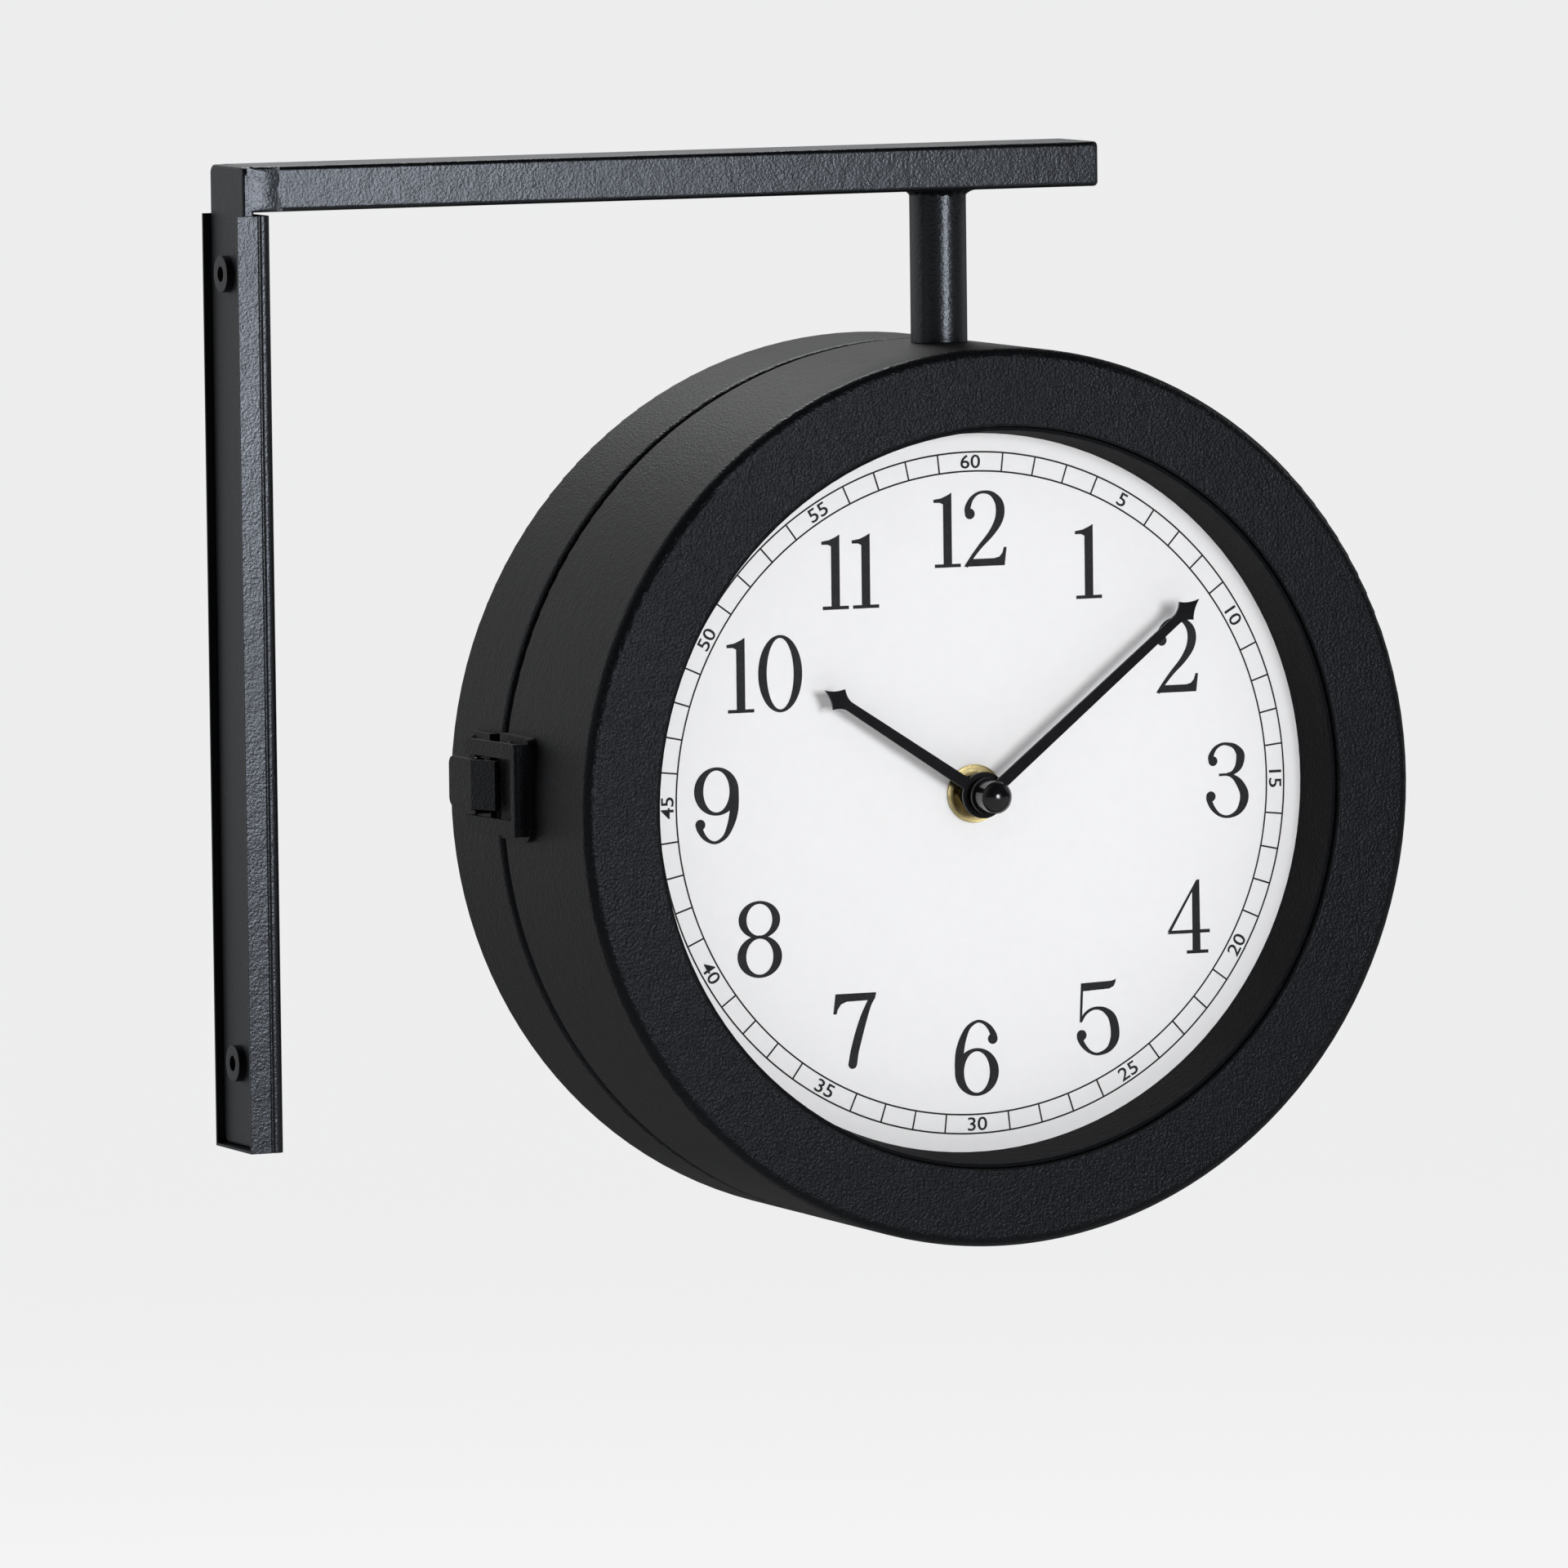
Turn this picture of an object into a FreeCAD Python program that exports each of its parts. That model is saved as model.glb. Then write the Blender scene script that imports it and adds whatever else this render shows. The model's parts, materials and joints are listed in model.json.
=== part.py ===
import FreeCAD, Part
import math
import os
import re
import Sketcher

# Double sided station clock on a wall bracket.
# +X points away from the wall, the first dial looks along -Y, +Z is up.
# The origin lies on the wall, midway between the two wall screws.

# ---------------------------------------------------------------- driving sizes, in millimetres
SIZES = [
    ("screw_pitch", 260, "between the two wall screws"),
    ("screw_hole", 5.2, "bore for a wall screw"),
    ("countersink", 2.2, "depth of the countersink"),
    ("top_margin", 35.5, "upper wall screw to the top of the bracket"),
    ("pad_depth", 2.5, "thickness of a wall pad"),
    ("pad_size", 12, "diameter of a wall pad"),
    ("bar_depth", 4, "thickness of the upright bar"),
    ("bar_width", 30, "width of the upright bar"),
    ("bar_foot_gap", 0.3, "foot of the upright bar to the cover's floor"),
    ("bar_corner", 3, "rounding of the bar's four corners"),
    ("bar_edge", 1, "rounding of the bar's long edges"),
    ("arm_length", 303, "arm with its end plate"),
    ("arm_height", 15, "arm tube, upright side"),
    ("arm_width", 30, "arm tube, flat side"),
    ("arm_wall", 1.5, "arm tube wall"),
    ("arm_corner", 1.6, "outside corner of the arm tube"),
    ("arm_end_round", 1.4, "rounding of the end plate's outer edge"),
    ("cover_depth", 12, "cover channel, wall to web"),
    ("cover_wall", 0.8, "cover channel sheet"),
    ("cover_side_gap", 0.3, "cover flange to the bar's edge"),
    ("cover_top_gap", 1.1, "cover to the underside of the arm"),
    ("cover_margin", 28.6, "lower wall screw to the foot of the cover"),
    ("cover_bend", 2.8, "outside bend of the cover"),
    ("bead_gap", 0.1, "snap bead to the bar's face"),
    ("bead_depth", 0.5, "depth of the snap bead"),
    ("bead_width", 1.4, "width of the snap bead"),
    ("post_place", 257, "wall to the middle of the post"),
    ("post_size", 19, "diameter of the post"),
    ("post_wall", 2, "post tube wall"),
    ("post_length", 51, "arm to the top of the drum"),
    ("weld_size", 3, "leg of the weld round the post"),
    ("plug_length", 14, "threaded plug in the foot of the post"),
    ("plug_rise", 2, "drum to the plug"),
    ("bolt_size", 8, "post bolt"),
    ("bolt_head", 13, "across the flats of the post bolt"),
    ("bolt_head_depth", 5.3, "head of the post bolt"),
    ("bolt_gap", 0.3, "play of the bolt in the drum"),
    ("saddle_size", 44, "width of the saddle plate"),
    ("saddle_rim_gap", 2.3, "saddle plate to the rim at the seam"),
    ("saddle_depth", 2, "thickness of the saddle plate"),
    ("drum_radius", 150, "outside of the drum"),
    ("ring_reach", 48, "middle of the bracket to the first ring's face"),
    ("case_depth", 73.5, "first half of the drum"),
    ("door_depth", 46, "second half of the drum"),
    ("seam_gap", 1.5, "between the two halves"),
    ("shell_wall", 1.2, "sheet of both shells"),
    ("face_round", 3.5, "outside rounding at the ring"),
    ("rim_round", 3, "outside rounding at the seam"),
    ("rim_width", 9, "in-turned rim at the seam"),
    ("ring_width", 26, "drum's outside to the opening in a ring"),
    ("lip_depth", 3, "in-turned lip of the opening"),
    ("lip_round", 0.6, "edge of the opening"),
    ("gasket_width", 4, "seam gasket"),
    ("gasket_inset", 4.5, "drum's outside to the gasket"),
    ("gasket_gap", 0.3, "gasket to the door's rim"),
    ("dial_recess", 23.5, "ring's face to the dial"),
    ("dial_depth", 1, "thickness of a dial plate"),
    ("reveal_gap", 0.4, "opening in a ring to the reveal"),
    ("reveal_draft", 2, "how much the reveal narrows towards the dial"),
    ("reveal_wall", 1.2, "sheet of the reveal"),
    ("reveal_start", 2.5, "ring's face to the reveal's front edge"),
    ("dial_margin", 13.6, "reveal's foot to the edge of the dial plate"),
    ("tab_screw_inset", 9.6, "reveal's foot to a dial screw"),
    ("tab_end", 4, "dial screw to the inner end of its tab"),
    ("tab_width", 16, "width of a tab"),
    ("tab_depth", 1.5, "thickness of a tab"),
    ("tab_foot", 10, "length of a tab's foot on the shell"),
    ("tab_screw", 3, "dial screw"),
    ("tab_screw_head", 5.6, "head of a dial screw"),
    ("tab_screw_head_depth", 1.9, "thickness of that head"),
    ("movement_side", 56, "side of a movement's case"),
    ("movement_depth", 16, "depth of a movement's case"),
    ("movement_corner", 5, "corner of a movement's case"),
    ("bay_width", 15.6, "battery bay, across the cell"),
    ("bay_floor", 2, "floor of the battery bay"),
    ("bay_edge", 2.4, "bay to the lower edge of the case"),
    ("cell_size", 14.2, "diameter of the AA cell"),
    ("cell_length", 49.2, "AA cell without its nub"),
    ("cell_nub", 5.5, "nub of the cell"),
    ("cell_nub_length", 1.3, "length of the nub"),
    ("contact_depth", 0.5, "battery contact sheet"),
    ("contact_size", 10, "side of a battery contact"),
    ("bushing_size", 8, "threaded bushing of a movement"),
    ("bushing_reach", 5.2, "dial to the end of the bushing"),
    ("washer_size", 19.6, "brass washer"),
    ("washer_depth", 0.8, "thickness of the washer"),
    ("nut_size", 12.6, "across the flats of the brass nut"),
    ("nut_depth", 2.4, "thickness of the brass nut"),
    ("hour_tube", 5, "outside of the hour tube"),
    ("arbor_size", 3, "minute arbor"),
    ("run_gap", 0.05, "running clearance, on the radius"),
    ("face_gap", 0.2, "end clearance between turning parts"),
    ("hour_level", 8.8, "dial to the face of the hour hand"),
    ("minute_level", 12.3, "dial to the face of the minute hand"),
    ("hand_depth", 1, "thickness of a hand"),
    ("hour_disc", 15.5, "disc at the root of the hour hand"),
    ("hour_collet", 8.6, "collet of the hour hand"),
    ("minute_disc", 12.2, "disc at the root of the minute hand"),
    ("minute_collet", 5.8, "collet of the minute hand"),
    ("hour_length", 68.4, "hour hand, axis to tip"),
    ("minute_length", 100, "minute hand, axis to tip"),
    ("hand_root", 4.1, "width of a blade at its root"),
    ("hand_neck", 3.2, "width of a blade below its head"),
    ("head_width", 8, "width of the spade head"),
    ("head_length", 6, "corners of the head to the tip"),
    ("head_shoulder", 4.2, "corners of the head to the neck"),
    ("head_hollow", 12, "radius of the head's hollow flanks"),
    ("shoulder_hollow", 7, "radius of the shoulder's hollow flanks"),
    ("hour_angle", 303.2, "hour hand at rest, degrees from 12"),
    ("minute_angle", 51.2, "minute hand at rest, degrees from 12"),
    ("cap_size", 10.8, "diameter of the hub cap"),
    ("cap_length", 6.8, "straight side of the hub cap"),
    ("cap_dome", 3, "rise of the cap's dome"),
    ("cap_grip", 2.5, "length of arbor inside the cap"),
    ("knob_size", 12, "setting knob"),
    ("knob_depth", 4, "thickness of the setting knob"),
    ("knob_gap", 0.5, "setting knob to the movement"),
    ("hinge_height", 40, "height of the hinge"),
    ("hinge_middle", 14, "height of the middle knuckle"),
    ("hinge_play", 0.3, "between neighbouring knuckles"),
    ("leaf_depth", 2, "thickness of a leaf over the drum"),
    ("leaf_width", 18, "width of a leaf"),
    ("leaf_gap", 0.6, "knuckle to the edge of the leaf"),
    ("knuckle_size", 6.4, "outside of a knuckle"),
    ("knuckle_stand", 3.3, "drum to the middle of the pin"),
    ("hinge_pin", 3, "hinge pin"),
    ("hinge_pin_head", 5.2, "head of the hinge pin"),
    ("hinge_pin_head_depth", 1.2, "thickness of that head"),
    ("leaf_sink", 4, "how deep a leaf follows the drum's curve"),
    ("rivet_size", 3.2, "rivet shank"),
    ("rivet_head", 5.6, "rivet head"),
    ("rivet_head_depth", 1.1, "rise of a rivet head"),
    ("hinge_rivet_pitch", 26, "between a leaf's rivets"),
    ("latch_rise", 6, "drum's axis up to the latch"),
    ("strike_height", 35, "foot of the strike"),
    ("strike_front", 3.5, "middle of the bracket to the strike's front edge"),
    ("strike_length", 25.5, "length of the strike's foot"),
    ("strike_corner", 5, "corner of the strike's foot"),
    ("plate_metal", 1.5, "sheet of the latch"),
    ("bridge_height", 30.8, "height of the strike's raised plate"),
    ("bridge_rise", 6, "drum to the raised plate's front end"),
    ("bridge_flare", 3.5, "how much further its open end stands off"),
    ("bridge_length", 36.5, "length of the raised plate"),
    ("bridge_set", 1.5, "strike's front edge to the raised wall"),
    ("bridge_corner", 3.5, "corner of the raised plate"),
    ("notch_height", 20.4, "slot in the raised plate"),
    ("notch_web", 3.5, "metal left at the closed end of the slot"),
    ("keeper_start", 4.8, "seam to the latch base"),
    ("keeper_length", 19.9, "length of the latch base"),
    ("keeper_height", 33, "height of the latch base"),
    ("keeper_corner", 3, "corner of the latch base"),
    ("ear_depth", 1.2, "thickness of an ear"),
    ("ear_rise", 6.5, "drum to the top of an ear"),
    ("ear_width", 5, "width of an ear"),
    ("lever_height", 16.6, "height of the thumb lever"),
    ("lever_play", 0.6, "lever to an ear"),
    ("lever_pin", 2, "latch pin"),
    ("lever_pin_rise", 4.4, "drum to the latch pin"),
    ("lever_pin_place", 4, "latch base's edge to the pin"),
    ("lever_eye", 4.4, "outside of the lever's eye"),
    ("lever_top", 8.6, "drum to the outside of the tab"),
    ("lever_tab", 19.5, "length of the tab"),
    ("lever_nose", 11.5, "length of the nose"),
    ("lever_nose_rise", 4.6, "drum to the outside of the nose"),
    ("lever_corner", 3, "corner of the tab"),
    ("latch_rivet_pitch", 26, "between the rivets of the strike or base"),
]
VALUE = {alias: value for alias, value, meaning in SIZES}

doc = FreeCAD.newDocument("station_clock")
V = FreeCAD.Vector
Z_TURN = FreeCAD.Rotation(V(0, 0, 1), 180)
LYING = FreeCAD.Rotation(V(1, 0, 0), 90)
ALONG_X = FreeCAD.Rotation(V(0, 1, 0), 90)

sheet = doc.addObject("Spreadsheet::Sheet", "sizes")
for row, (alias, value, meaning) in enumerate(SIZES, 1):
    sheet.set("A%d" % row, meaning)
    sheet.set("B%d" % row, str(value))
    sheet.setAlias("B%d" % row, alias)
doc.recompute()

gauge = doc.addObject("App::FeaturePython", "gauge")
gauge.addProperty("App::PropertyFloat", "Reading")

# ---------------------------------------------------------------- places worked out from the sizes
ARM_TOP = "(screw_pitch / 2 + top_margin)"
ARM_BOTTOM = "(%s - arm_height)" % ARM_TOP
BAR_FACE = "(pad_depth + bar_depth)"
COVER_FOOT = "(0 - screw_pitch / 2 - cover_margin)"
BAR_FOOT = "(%s + cover_wall + bar_foot_gap)" % COVER_FOOT
SADDLE_REACH = "(case_depth - ring_reach - shell_wall - saddle_rim_gap)"
AXIS_Z = "(%s - post_length - drum_radius)" % ARM_BOTTOM
FRONT_Y = "(0 - ring_reach)"
SEAM_Y = "(case_depth + seam_gap / 2 - ring_reach)"
REAR_Y = "(case_depth + seam_gap + door_depth - ring_reach)"
INSIDE = "(drum_radius - shell_wall)"
RING_OPENING = "(drum_radius - ring_width)"
REVEAL_MOUTH = "(%s - reveal_gap - reveal_wall)" % RING_OPENING
REVEAL_FOOT = "(%s - reveal_draft)" % REVEAL_MOUTH
DIAL_RADIUS = "(%s + dial_margin)" % REVEAL_FOOT
TAB_SCREW_RADIUS = "(%s + tab_screw_inset)" % REVEAL_FOOT
TAB_INNER = "(%s - tab_end)" % TAB_SCREW_RADIUS
TAB_Y = "(dial_recess + dial_depth)"
CASE_BACK = "(dial_depth + movement_depth)"
TUBE_DEPTH = "(movement_depth / 4)"
HINGE_X = "(drum_radius + knuckle_stand)"
KEEPER_Y = "(%s + keeper_start)" % SEAM_Y
PIN_Y = "(%s + lever_pin_place)" % KEEPER_Y

WORD = re.compile(r"[a-z][a-z_]+")


def in_sheet(text):
    """Turns the words of a formula that name a size into references to the sheet."""
    return WORD.sub(lambda word: "sizes." + word.group() if word.group() in VALUE else word.group(), text)


def link(piece, name, text):
    """Binds one property of a piece to a formula of sizes."""
    piece.setExpression(name, in_sheet(text))


def number(text):
    """The present value of a formula of sizes."""
    link(gauge, "Reading", text)
    gauge.recompute()
    return gauge.Reading


def place(piece, x="0", y="0", z="0", turn=None):
    """Puts a piece at a place given by formulas, turned by a fixed rotation."""
    piece.Placement = FreeCAD.Placement(V(), turn or FreeCAD.Rotation())
    for axis, text in zip("xyz", (x, y, z)):
        link(piece, ".Placement.Base." + axis, text)
    return piece


class Side:
    """One of the two faces of the clock: where its ring and dial are, and which way it looks."""

    def __init__(self, name, y, inward, turn):
        self.name = name
        self.ring_y = y
        self.inward = inward
        self.turn = turn

    def at_ring(self, piece, spin=0):
        """Local y = 0 becomes the ring's outer face, local +y points into the drum."""
        around = FreeCAD.Rotation(V(0, 1, 0), spin)
        return place(piece, "post_place", self.ring_y, AXIS_Z, self.turn.multiply(around))

    def at_dial(self, piece, spin=0):
        """Local y = 0 becomes the dial's face, local -y points to whoever reads it."""
        around = FreeCAD.Rotation(V(0, 1, 0), spin)
        dial_y = "%s %s dial_recess" % (self.ring_y, self.inward)
        return place(piece, "post_place", dial_y, AXIS_Z, self.turn.multiply(around))


FRONT = Side("front", FRONT_Y, "+", FreeCAD.Rotation())
REAR = Side("rear", REAR_Y, "-", Z_TURN)


# ---------------------------------------------------------------- ways of making a piece
def body(label):
    made = doc.addObject("PartDesign::Body", label)
    made.Label = label
    made.AllowCompound = True
    return made


def origin_of(owner, role):
    return next(item for item in owner.Origin.OriginFeatures if item.Role == role)


def sketch_on(owner, plane, height="0"):
    """A sketch on one of the body's own planes, lifted along that plane's normal."""
    drawn = owner.newObject("Sketcher::SketchObject", owner.Name + "_sketch")
    drawn.AttachmentSupport = (origin_of(owner, plane), [""])
    drawn.MapMode = "FlatFace"
    link(drawn, ".AttachmentOffset.Base.z", height)
    return drawn


def tie(drawn, geometry, point, x, y):
    """Ties one point of a sketch to formulas for its two coordinates."""
    for kind, text in (("DistanceX", x), ("DistanceY", y)):
        index = drawn.addConstraint(Sketcher.Constraint(kind, -1, 1, geometry, point, number(text)))
        link(drawn, "Constraints[%d]" % index, text)


def arc_between(start, end, radius, side):
    """Arc from start to end whose centre lies to the left (side +1) or right (side -1)."""
    chord = end - start
    rise = math.sqrt(max(radius ** 2 - chord.Length ** 2 / 4, 0))
    normal = V(-chord.y, chord.x, 0).normalize()
    centre = (start + end) * 0.5 + normal * rise * side
    first, last = (start, end) if side > 0 else (end, start)
    angles = [math.atan2(point.y - centre.y, point.x - centre.x) for point in (first, last)]
    return Part.ArcOfCircle(Part.Circle(centre, V(0, 0, 1), radius), angles[0], angles[1])


def outline(drawn, corners, hollows=None):
    """Draws a closed outline. hollows gives (radius, side) for the edges that are arcs."""
    hollows = hollows or {}
    spots = [V(number(x), number(y), 0) for x, y in corners]
    first = drawn.GeometryCount
    count = len(spots)
    begins = []
    ends = []
    for i in range(count):
        start, end = spots[i], spots[(i + 1) % count]
        if i in hollows:
            radius, side = hollows[i]
            drawn.addGeometry(arc_between(start, end, number(radius), side), False)
            begins.append(1 if side > 0 else 2)
        else:
            drawn.addGeometry(Part.LineSegment(start, end), False)
            begins.append(1)
        ends.append(3 - begins[-1])
    for i in range(count):
        after = (i + 1) % count
        drawn.addConstraint(Sketcher.Constraint(
            "Coincident", first + i, ends[i], first + after, begins[after]))
    for i, (x, y) in enumerate(corners):
        tie(drawn, first + i, begins[i], x, y)
    for i, (radius, side) in hollows.items():
        index = drawn.addConstraint(Sketcher.Constraint("Radius", first + i, number(radius)))
        link(drawn, "Constraints[%d]" % index, radius)
    return drawn


def circles(drawn, rounds):
    """Draws circles given as (x, y, diameter)."""
    for x, y, across in rounds:
        middle = V(number(x), number(y), 0)
        geometry = drawn.addGeometry(Part.Circle(middle, V(0, 0, 1), number(across) / 2), False)
        tie(drawn, geometry, 3, x, y)
        index = drawn.addConstraint(Sketcher.Constraint("Diameter", geometry, number(across)))
        link(drawn, "Constraints[%d]" % index, across)
    return drawn


def rectangle(width, height, y="0"):
    """Corners of a rectangle centred on the sketch's vertical axis and on height y."""
    half, tall = "(%s) / 2" % width, "(%s) / 2" % height
    return [("0 - " + half, "%s - %s" % (y, tall)), (half, "%s - %s" % (y, tall)),
            (half, "%s + %s" % (y, tall)), ("0 - " + half, "%s + %s" % (y, tall))]


def pad(owner, drawn, length, back=False, middle=False):
    made = owner.newObject("PartDesign::Pad", owner.Name + "_pad")
    made.Profile = drawn
    link(made, "Length", length)
    made.SideType = "Symmetric" if middle else "One side"
    made.Reversed = back
    doc.recompute()
    return made


def pocket(owner, drawn, length, back=False, middle=False):
    """Cuts against the sketch's normal, or along it with back."""
    before = owner.Shape.Volume
    made = owner.newObject("PartDesign::Pocket", owner.Name + "_pocket")
    made.Profile = drawn
    link(made, "Length", length)
    made.SideType = "Symmetric" if middle else "One side"
    made.Reversed = back
    doc.recompute()
    if owner.Shape.Volume >= before:
        raise RuntimeError("nothing was cut from " + owner.Label)
    return made


def lathe(label, corners, hollows=None):
    """A body turned about its own Y axis from (radius, y) corners."""
    made = body(label)
    drawn = outline(sketch_on(made, "XY_Plane"), corners, hollows)
    turned = made.newObject("PartDesign::Revolution", label + "_turning")
    turned.Profile = drawn
    turned.ReferenceAxis = (drawn, ["V_Axis"])
    turned.Angle = 360
    doc.recompute()
    return made


def soften(owner, radius, chosen, kind="Fillet", size="Radius"):
    """Rounds or bevels the edges of a body for which chosen(edge) is true."""
    base = owner.Tip
    names = ["Edge%d" % (i + 1) for i, edge in enumerate(base.Shape.Edges) if chosen(edge)]
    if not names:
        raise RuntimeError("no edge to round on " + owner.Label)
    made = owner.newObject("PartDesign::" + kind, owner.Name + "_edges")
    made.Base = (base, names)
    link(made, size, radius)
    doc.recompute()
    return made


def near(value, text):
    return abs(value - number(text)) < 0.01


def hoop(radius, y):
    """Chooses the full circle of this radius at this local y."""
    def chosen(edge):
        curve = edge.Curve
        return isinstance(curve, Part.Circle) and near(curve.Radius, radius) and near(curve.Center.y, y)
    return chosen


def runs_along(axis, *places):
    """Chooses straight edges along an axis that lie this far, either way, along each given coordinate."""
    def chosen(edge):
        if not isinstance(edge.Curve, Part.Line):
            return False
        if abs(abs(getattr(edge.Curve.Direction, axis)) - 1) > 1e-6:
            return False
        middle = edge.valueAt((edge.FirstParameter + edge.LastParameter) / 2)
        return all(near(abs(getattr(middle, where)), "abs(%s)" % text) for where, text in places)
    return chosen


def box(name, low, high):
    """A box between two corners given as formulas."""
    made = doc.addObject("Part::Box", name)
    for side, start, end in zip(("Length", "Width", "Height"), low, high):
        link(made, side, "(%s) - (%s)" % (end, start))
    return place(made, *low)


def rod(name, across, start, end, along="z", at=("0", "0")):
    """A round bar along one axis from start to end; at gives the other two coordinates in order."""
    made = doc.addObject("Part::Cylinder", name)
    link(made, "Radius", "(%s) / 2" % across)
    link(made, "Height", "(%s) - (%s)" % (end, start))
    if along == "x":
        return place(made, start, at[0], at[1], ALONG_X)
    if along == "y":
        return place(made, at[0], end, at[1], LYING)
    return place(made, at[0], at[1], start)


def combine(kind, label, first, second):
    made = doc.addObject("Part::" + kind, label)
    made.Label = label
    made.Base = first
    made.Tool = second
    doc.recompute()
    return made


def fuse(label, members):
    made = doc.addObject("Part::MultiFuse", label)
    made.Label = label
    made.Shapes = members
    doc.recompute()
    return made


def group(label, members):
    """Several separate solids that share one node."""
    made = doc.addObject("Part::Compound", label)
    made.Label = label
    made.Links = members
    doc.recompute()
    return made


def drum_block(name, at=("0", "0")):
    """The drum's outer cylinder as a cutter; without a place it is in the drum's own frame."""
    return rod(name, "2 * drum_radius", FRONT_Y, REAR_Y, "y", at)


def on_drum(piece, turn=None):
    """Moves a boolean or a group made in the drum's own frame to the drum's place."""
    return place(piece, "post_place", "0", AXIS_Z, turn)


# ---------------------------------------------------------------- bracket
def make_upright():
    bar = body("bracket_upright")
    half = "(bar_width / 2)"
    corners = [("0 - " + half, BAR_FOOT), (half, BAR_FOOT), (half, ARM_TOP), ("0 - " + half, ARM_TOP)]
    pad(bar, outline(sketch_on(bar, "YZ_Plane", "pad_depth"), corners), "bar_depth")
    soften(bar, "bar_corner", runs_along("x"))
    soften(bar, "bar_edge", runs_along("z", ("y", half)))
    holes = [("0", sign + "screw_pitch / 2", "screw_hole") for sign in ("0 - ", "")]
    pocket(bar, circles(sketch_on(bar, "YZ_Plane", BAR_FACE), holes), "bar_depth")

    def mouth(edge):
        return (isinstance(edge.Curve, Part.Circle) and near(edge.Curve.Radius, "screw_hole / 2")
                and near(edge.Curve.Center.x, BAR_FACE))
    soften(bar, "countersink", mouth, "Chamfer", "Size")
    return bar


def make_wall_pads():
    pads = body("wall_pads")
    rounds = [("0", sign + "screw_pitch / 2", size)
              for sign in ("0 - ", "") for size in ("pad_size", "screw_hole")]
    pad(pads, circles(sketch_on(pads, "YZ_Plane"), rounds), "pad_depth")
    return pads


def make_arm():
    arm = body("bracket_arm")
    middle = "%s - arm_height / 2" % ARM_TOP
    drawn = sketch_on(arm, "YZ_Plane", BAR_FACE)
    outline(drawn, rectangle("arm_width", "arm_height", middle))
    outline(drawn, rectangle("arm_width - 2 * arm_wall", "arm_height - 2 * arm_wall", middle))
    pad(arm, drawn, "arm_length - arm_wall")
    soften(arm, "arm_corner", runs_along("x", ("y", "arm_width / 2")))
    plate = body("arm_end_plate")
    start = "%s + arm_length - arm_wall" % BAR_FACE
    drawn = outline(sketch_on(plate, "YZ_Plane", start), rectangle("arm_width", "arm_height", middle))
    pad(plate, drawn, "arm_wall")
    soften(plate, "arm_corner", runs_along("x"))
    soften(plate, "arm_end_round", lambda edge: near(edge.BoundBox.XMin, start + " + arm_wall"))
    return [arm, plate]


def make_cover():
    """Channel that snaps over the bar: two beads behind the flanges rest on the bar's face."""
    cover = body("upright_cover")
    out = "(bar_width / 2 + cover_side_gap + cover_wall)"
    inn = "(bar_width / 2 + cover_side_gap)"
    dip = "bead_depth"
    rib = "(%s + bead_gap)" % BAR_FACE
    groove = "(%s + bead_depth)" % rib
    outside = [("0", out), (groove, out), (groove + " + bead_depth", out + " - " + dip),
               (groove + " + bead_width - bead_depth", out + " - " + dip), (groove + " + bead_width", out),
               ("cover_depth", out)]
    inside = [("0", inn), (rib, inn), (rib + " + bead_depth", inn + " - " + dip),
              (rib + " + bead_width + bead_depth", inn + " - " + dip),
              (rib + " + bead_width + 2 * bead_depth", inn), ("cover_depth - cover_wall", inn)]
    corners = ([(x, "0 - (%s)" % y) for x, y in outside] + outside[::-1]
               + inside + [(x, "0 - (%s)" % y) for x, y in inside[::-1]])
    length = "%s - cover_top_gap - %s" % (ARM_BOTTOM, COVER_FOOT)
    pad(cover, outline(sketch_on(cover, "XY_Plane", COVER_FOOT), corners), length)
    soften(cover, "cover_bend", runs_along("z", ("x", "cover_depth")))
    soften(cover, "cover_bend - cover_wall", runs_along("z", ("x", "cover_depth - cover_wall")))
    floor = [("0", "0 - " + inn), ("0", inn), ("cover_depth - cover_bend", inn),
             ("cover_depth - cover_wall", inn + " - cover_bend + cover_wall"),
             ("cover_depth - cover_wall", "0 - %s + cover_bend - cover_wall" % inn),
             ("cover_depth - cover_bend", "0 - " + inn)]
    pad(cover, outline(sketch_on(cover, "XY_Plane", COVER_FOOT), floor), "cover_wall")
    return cover


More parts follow.
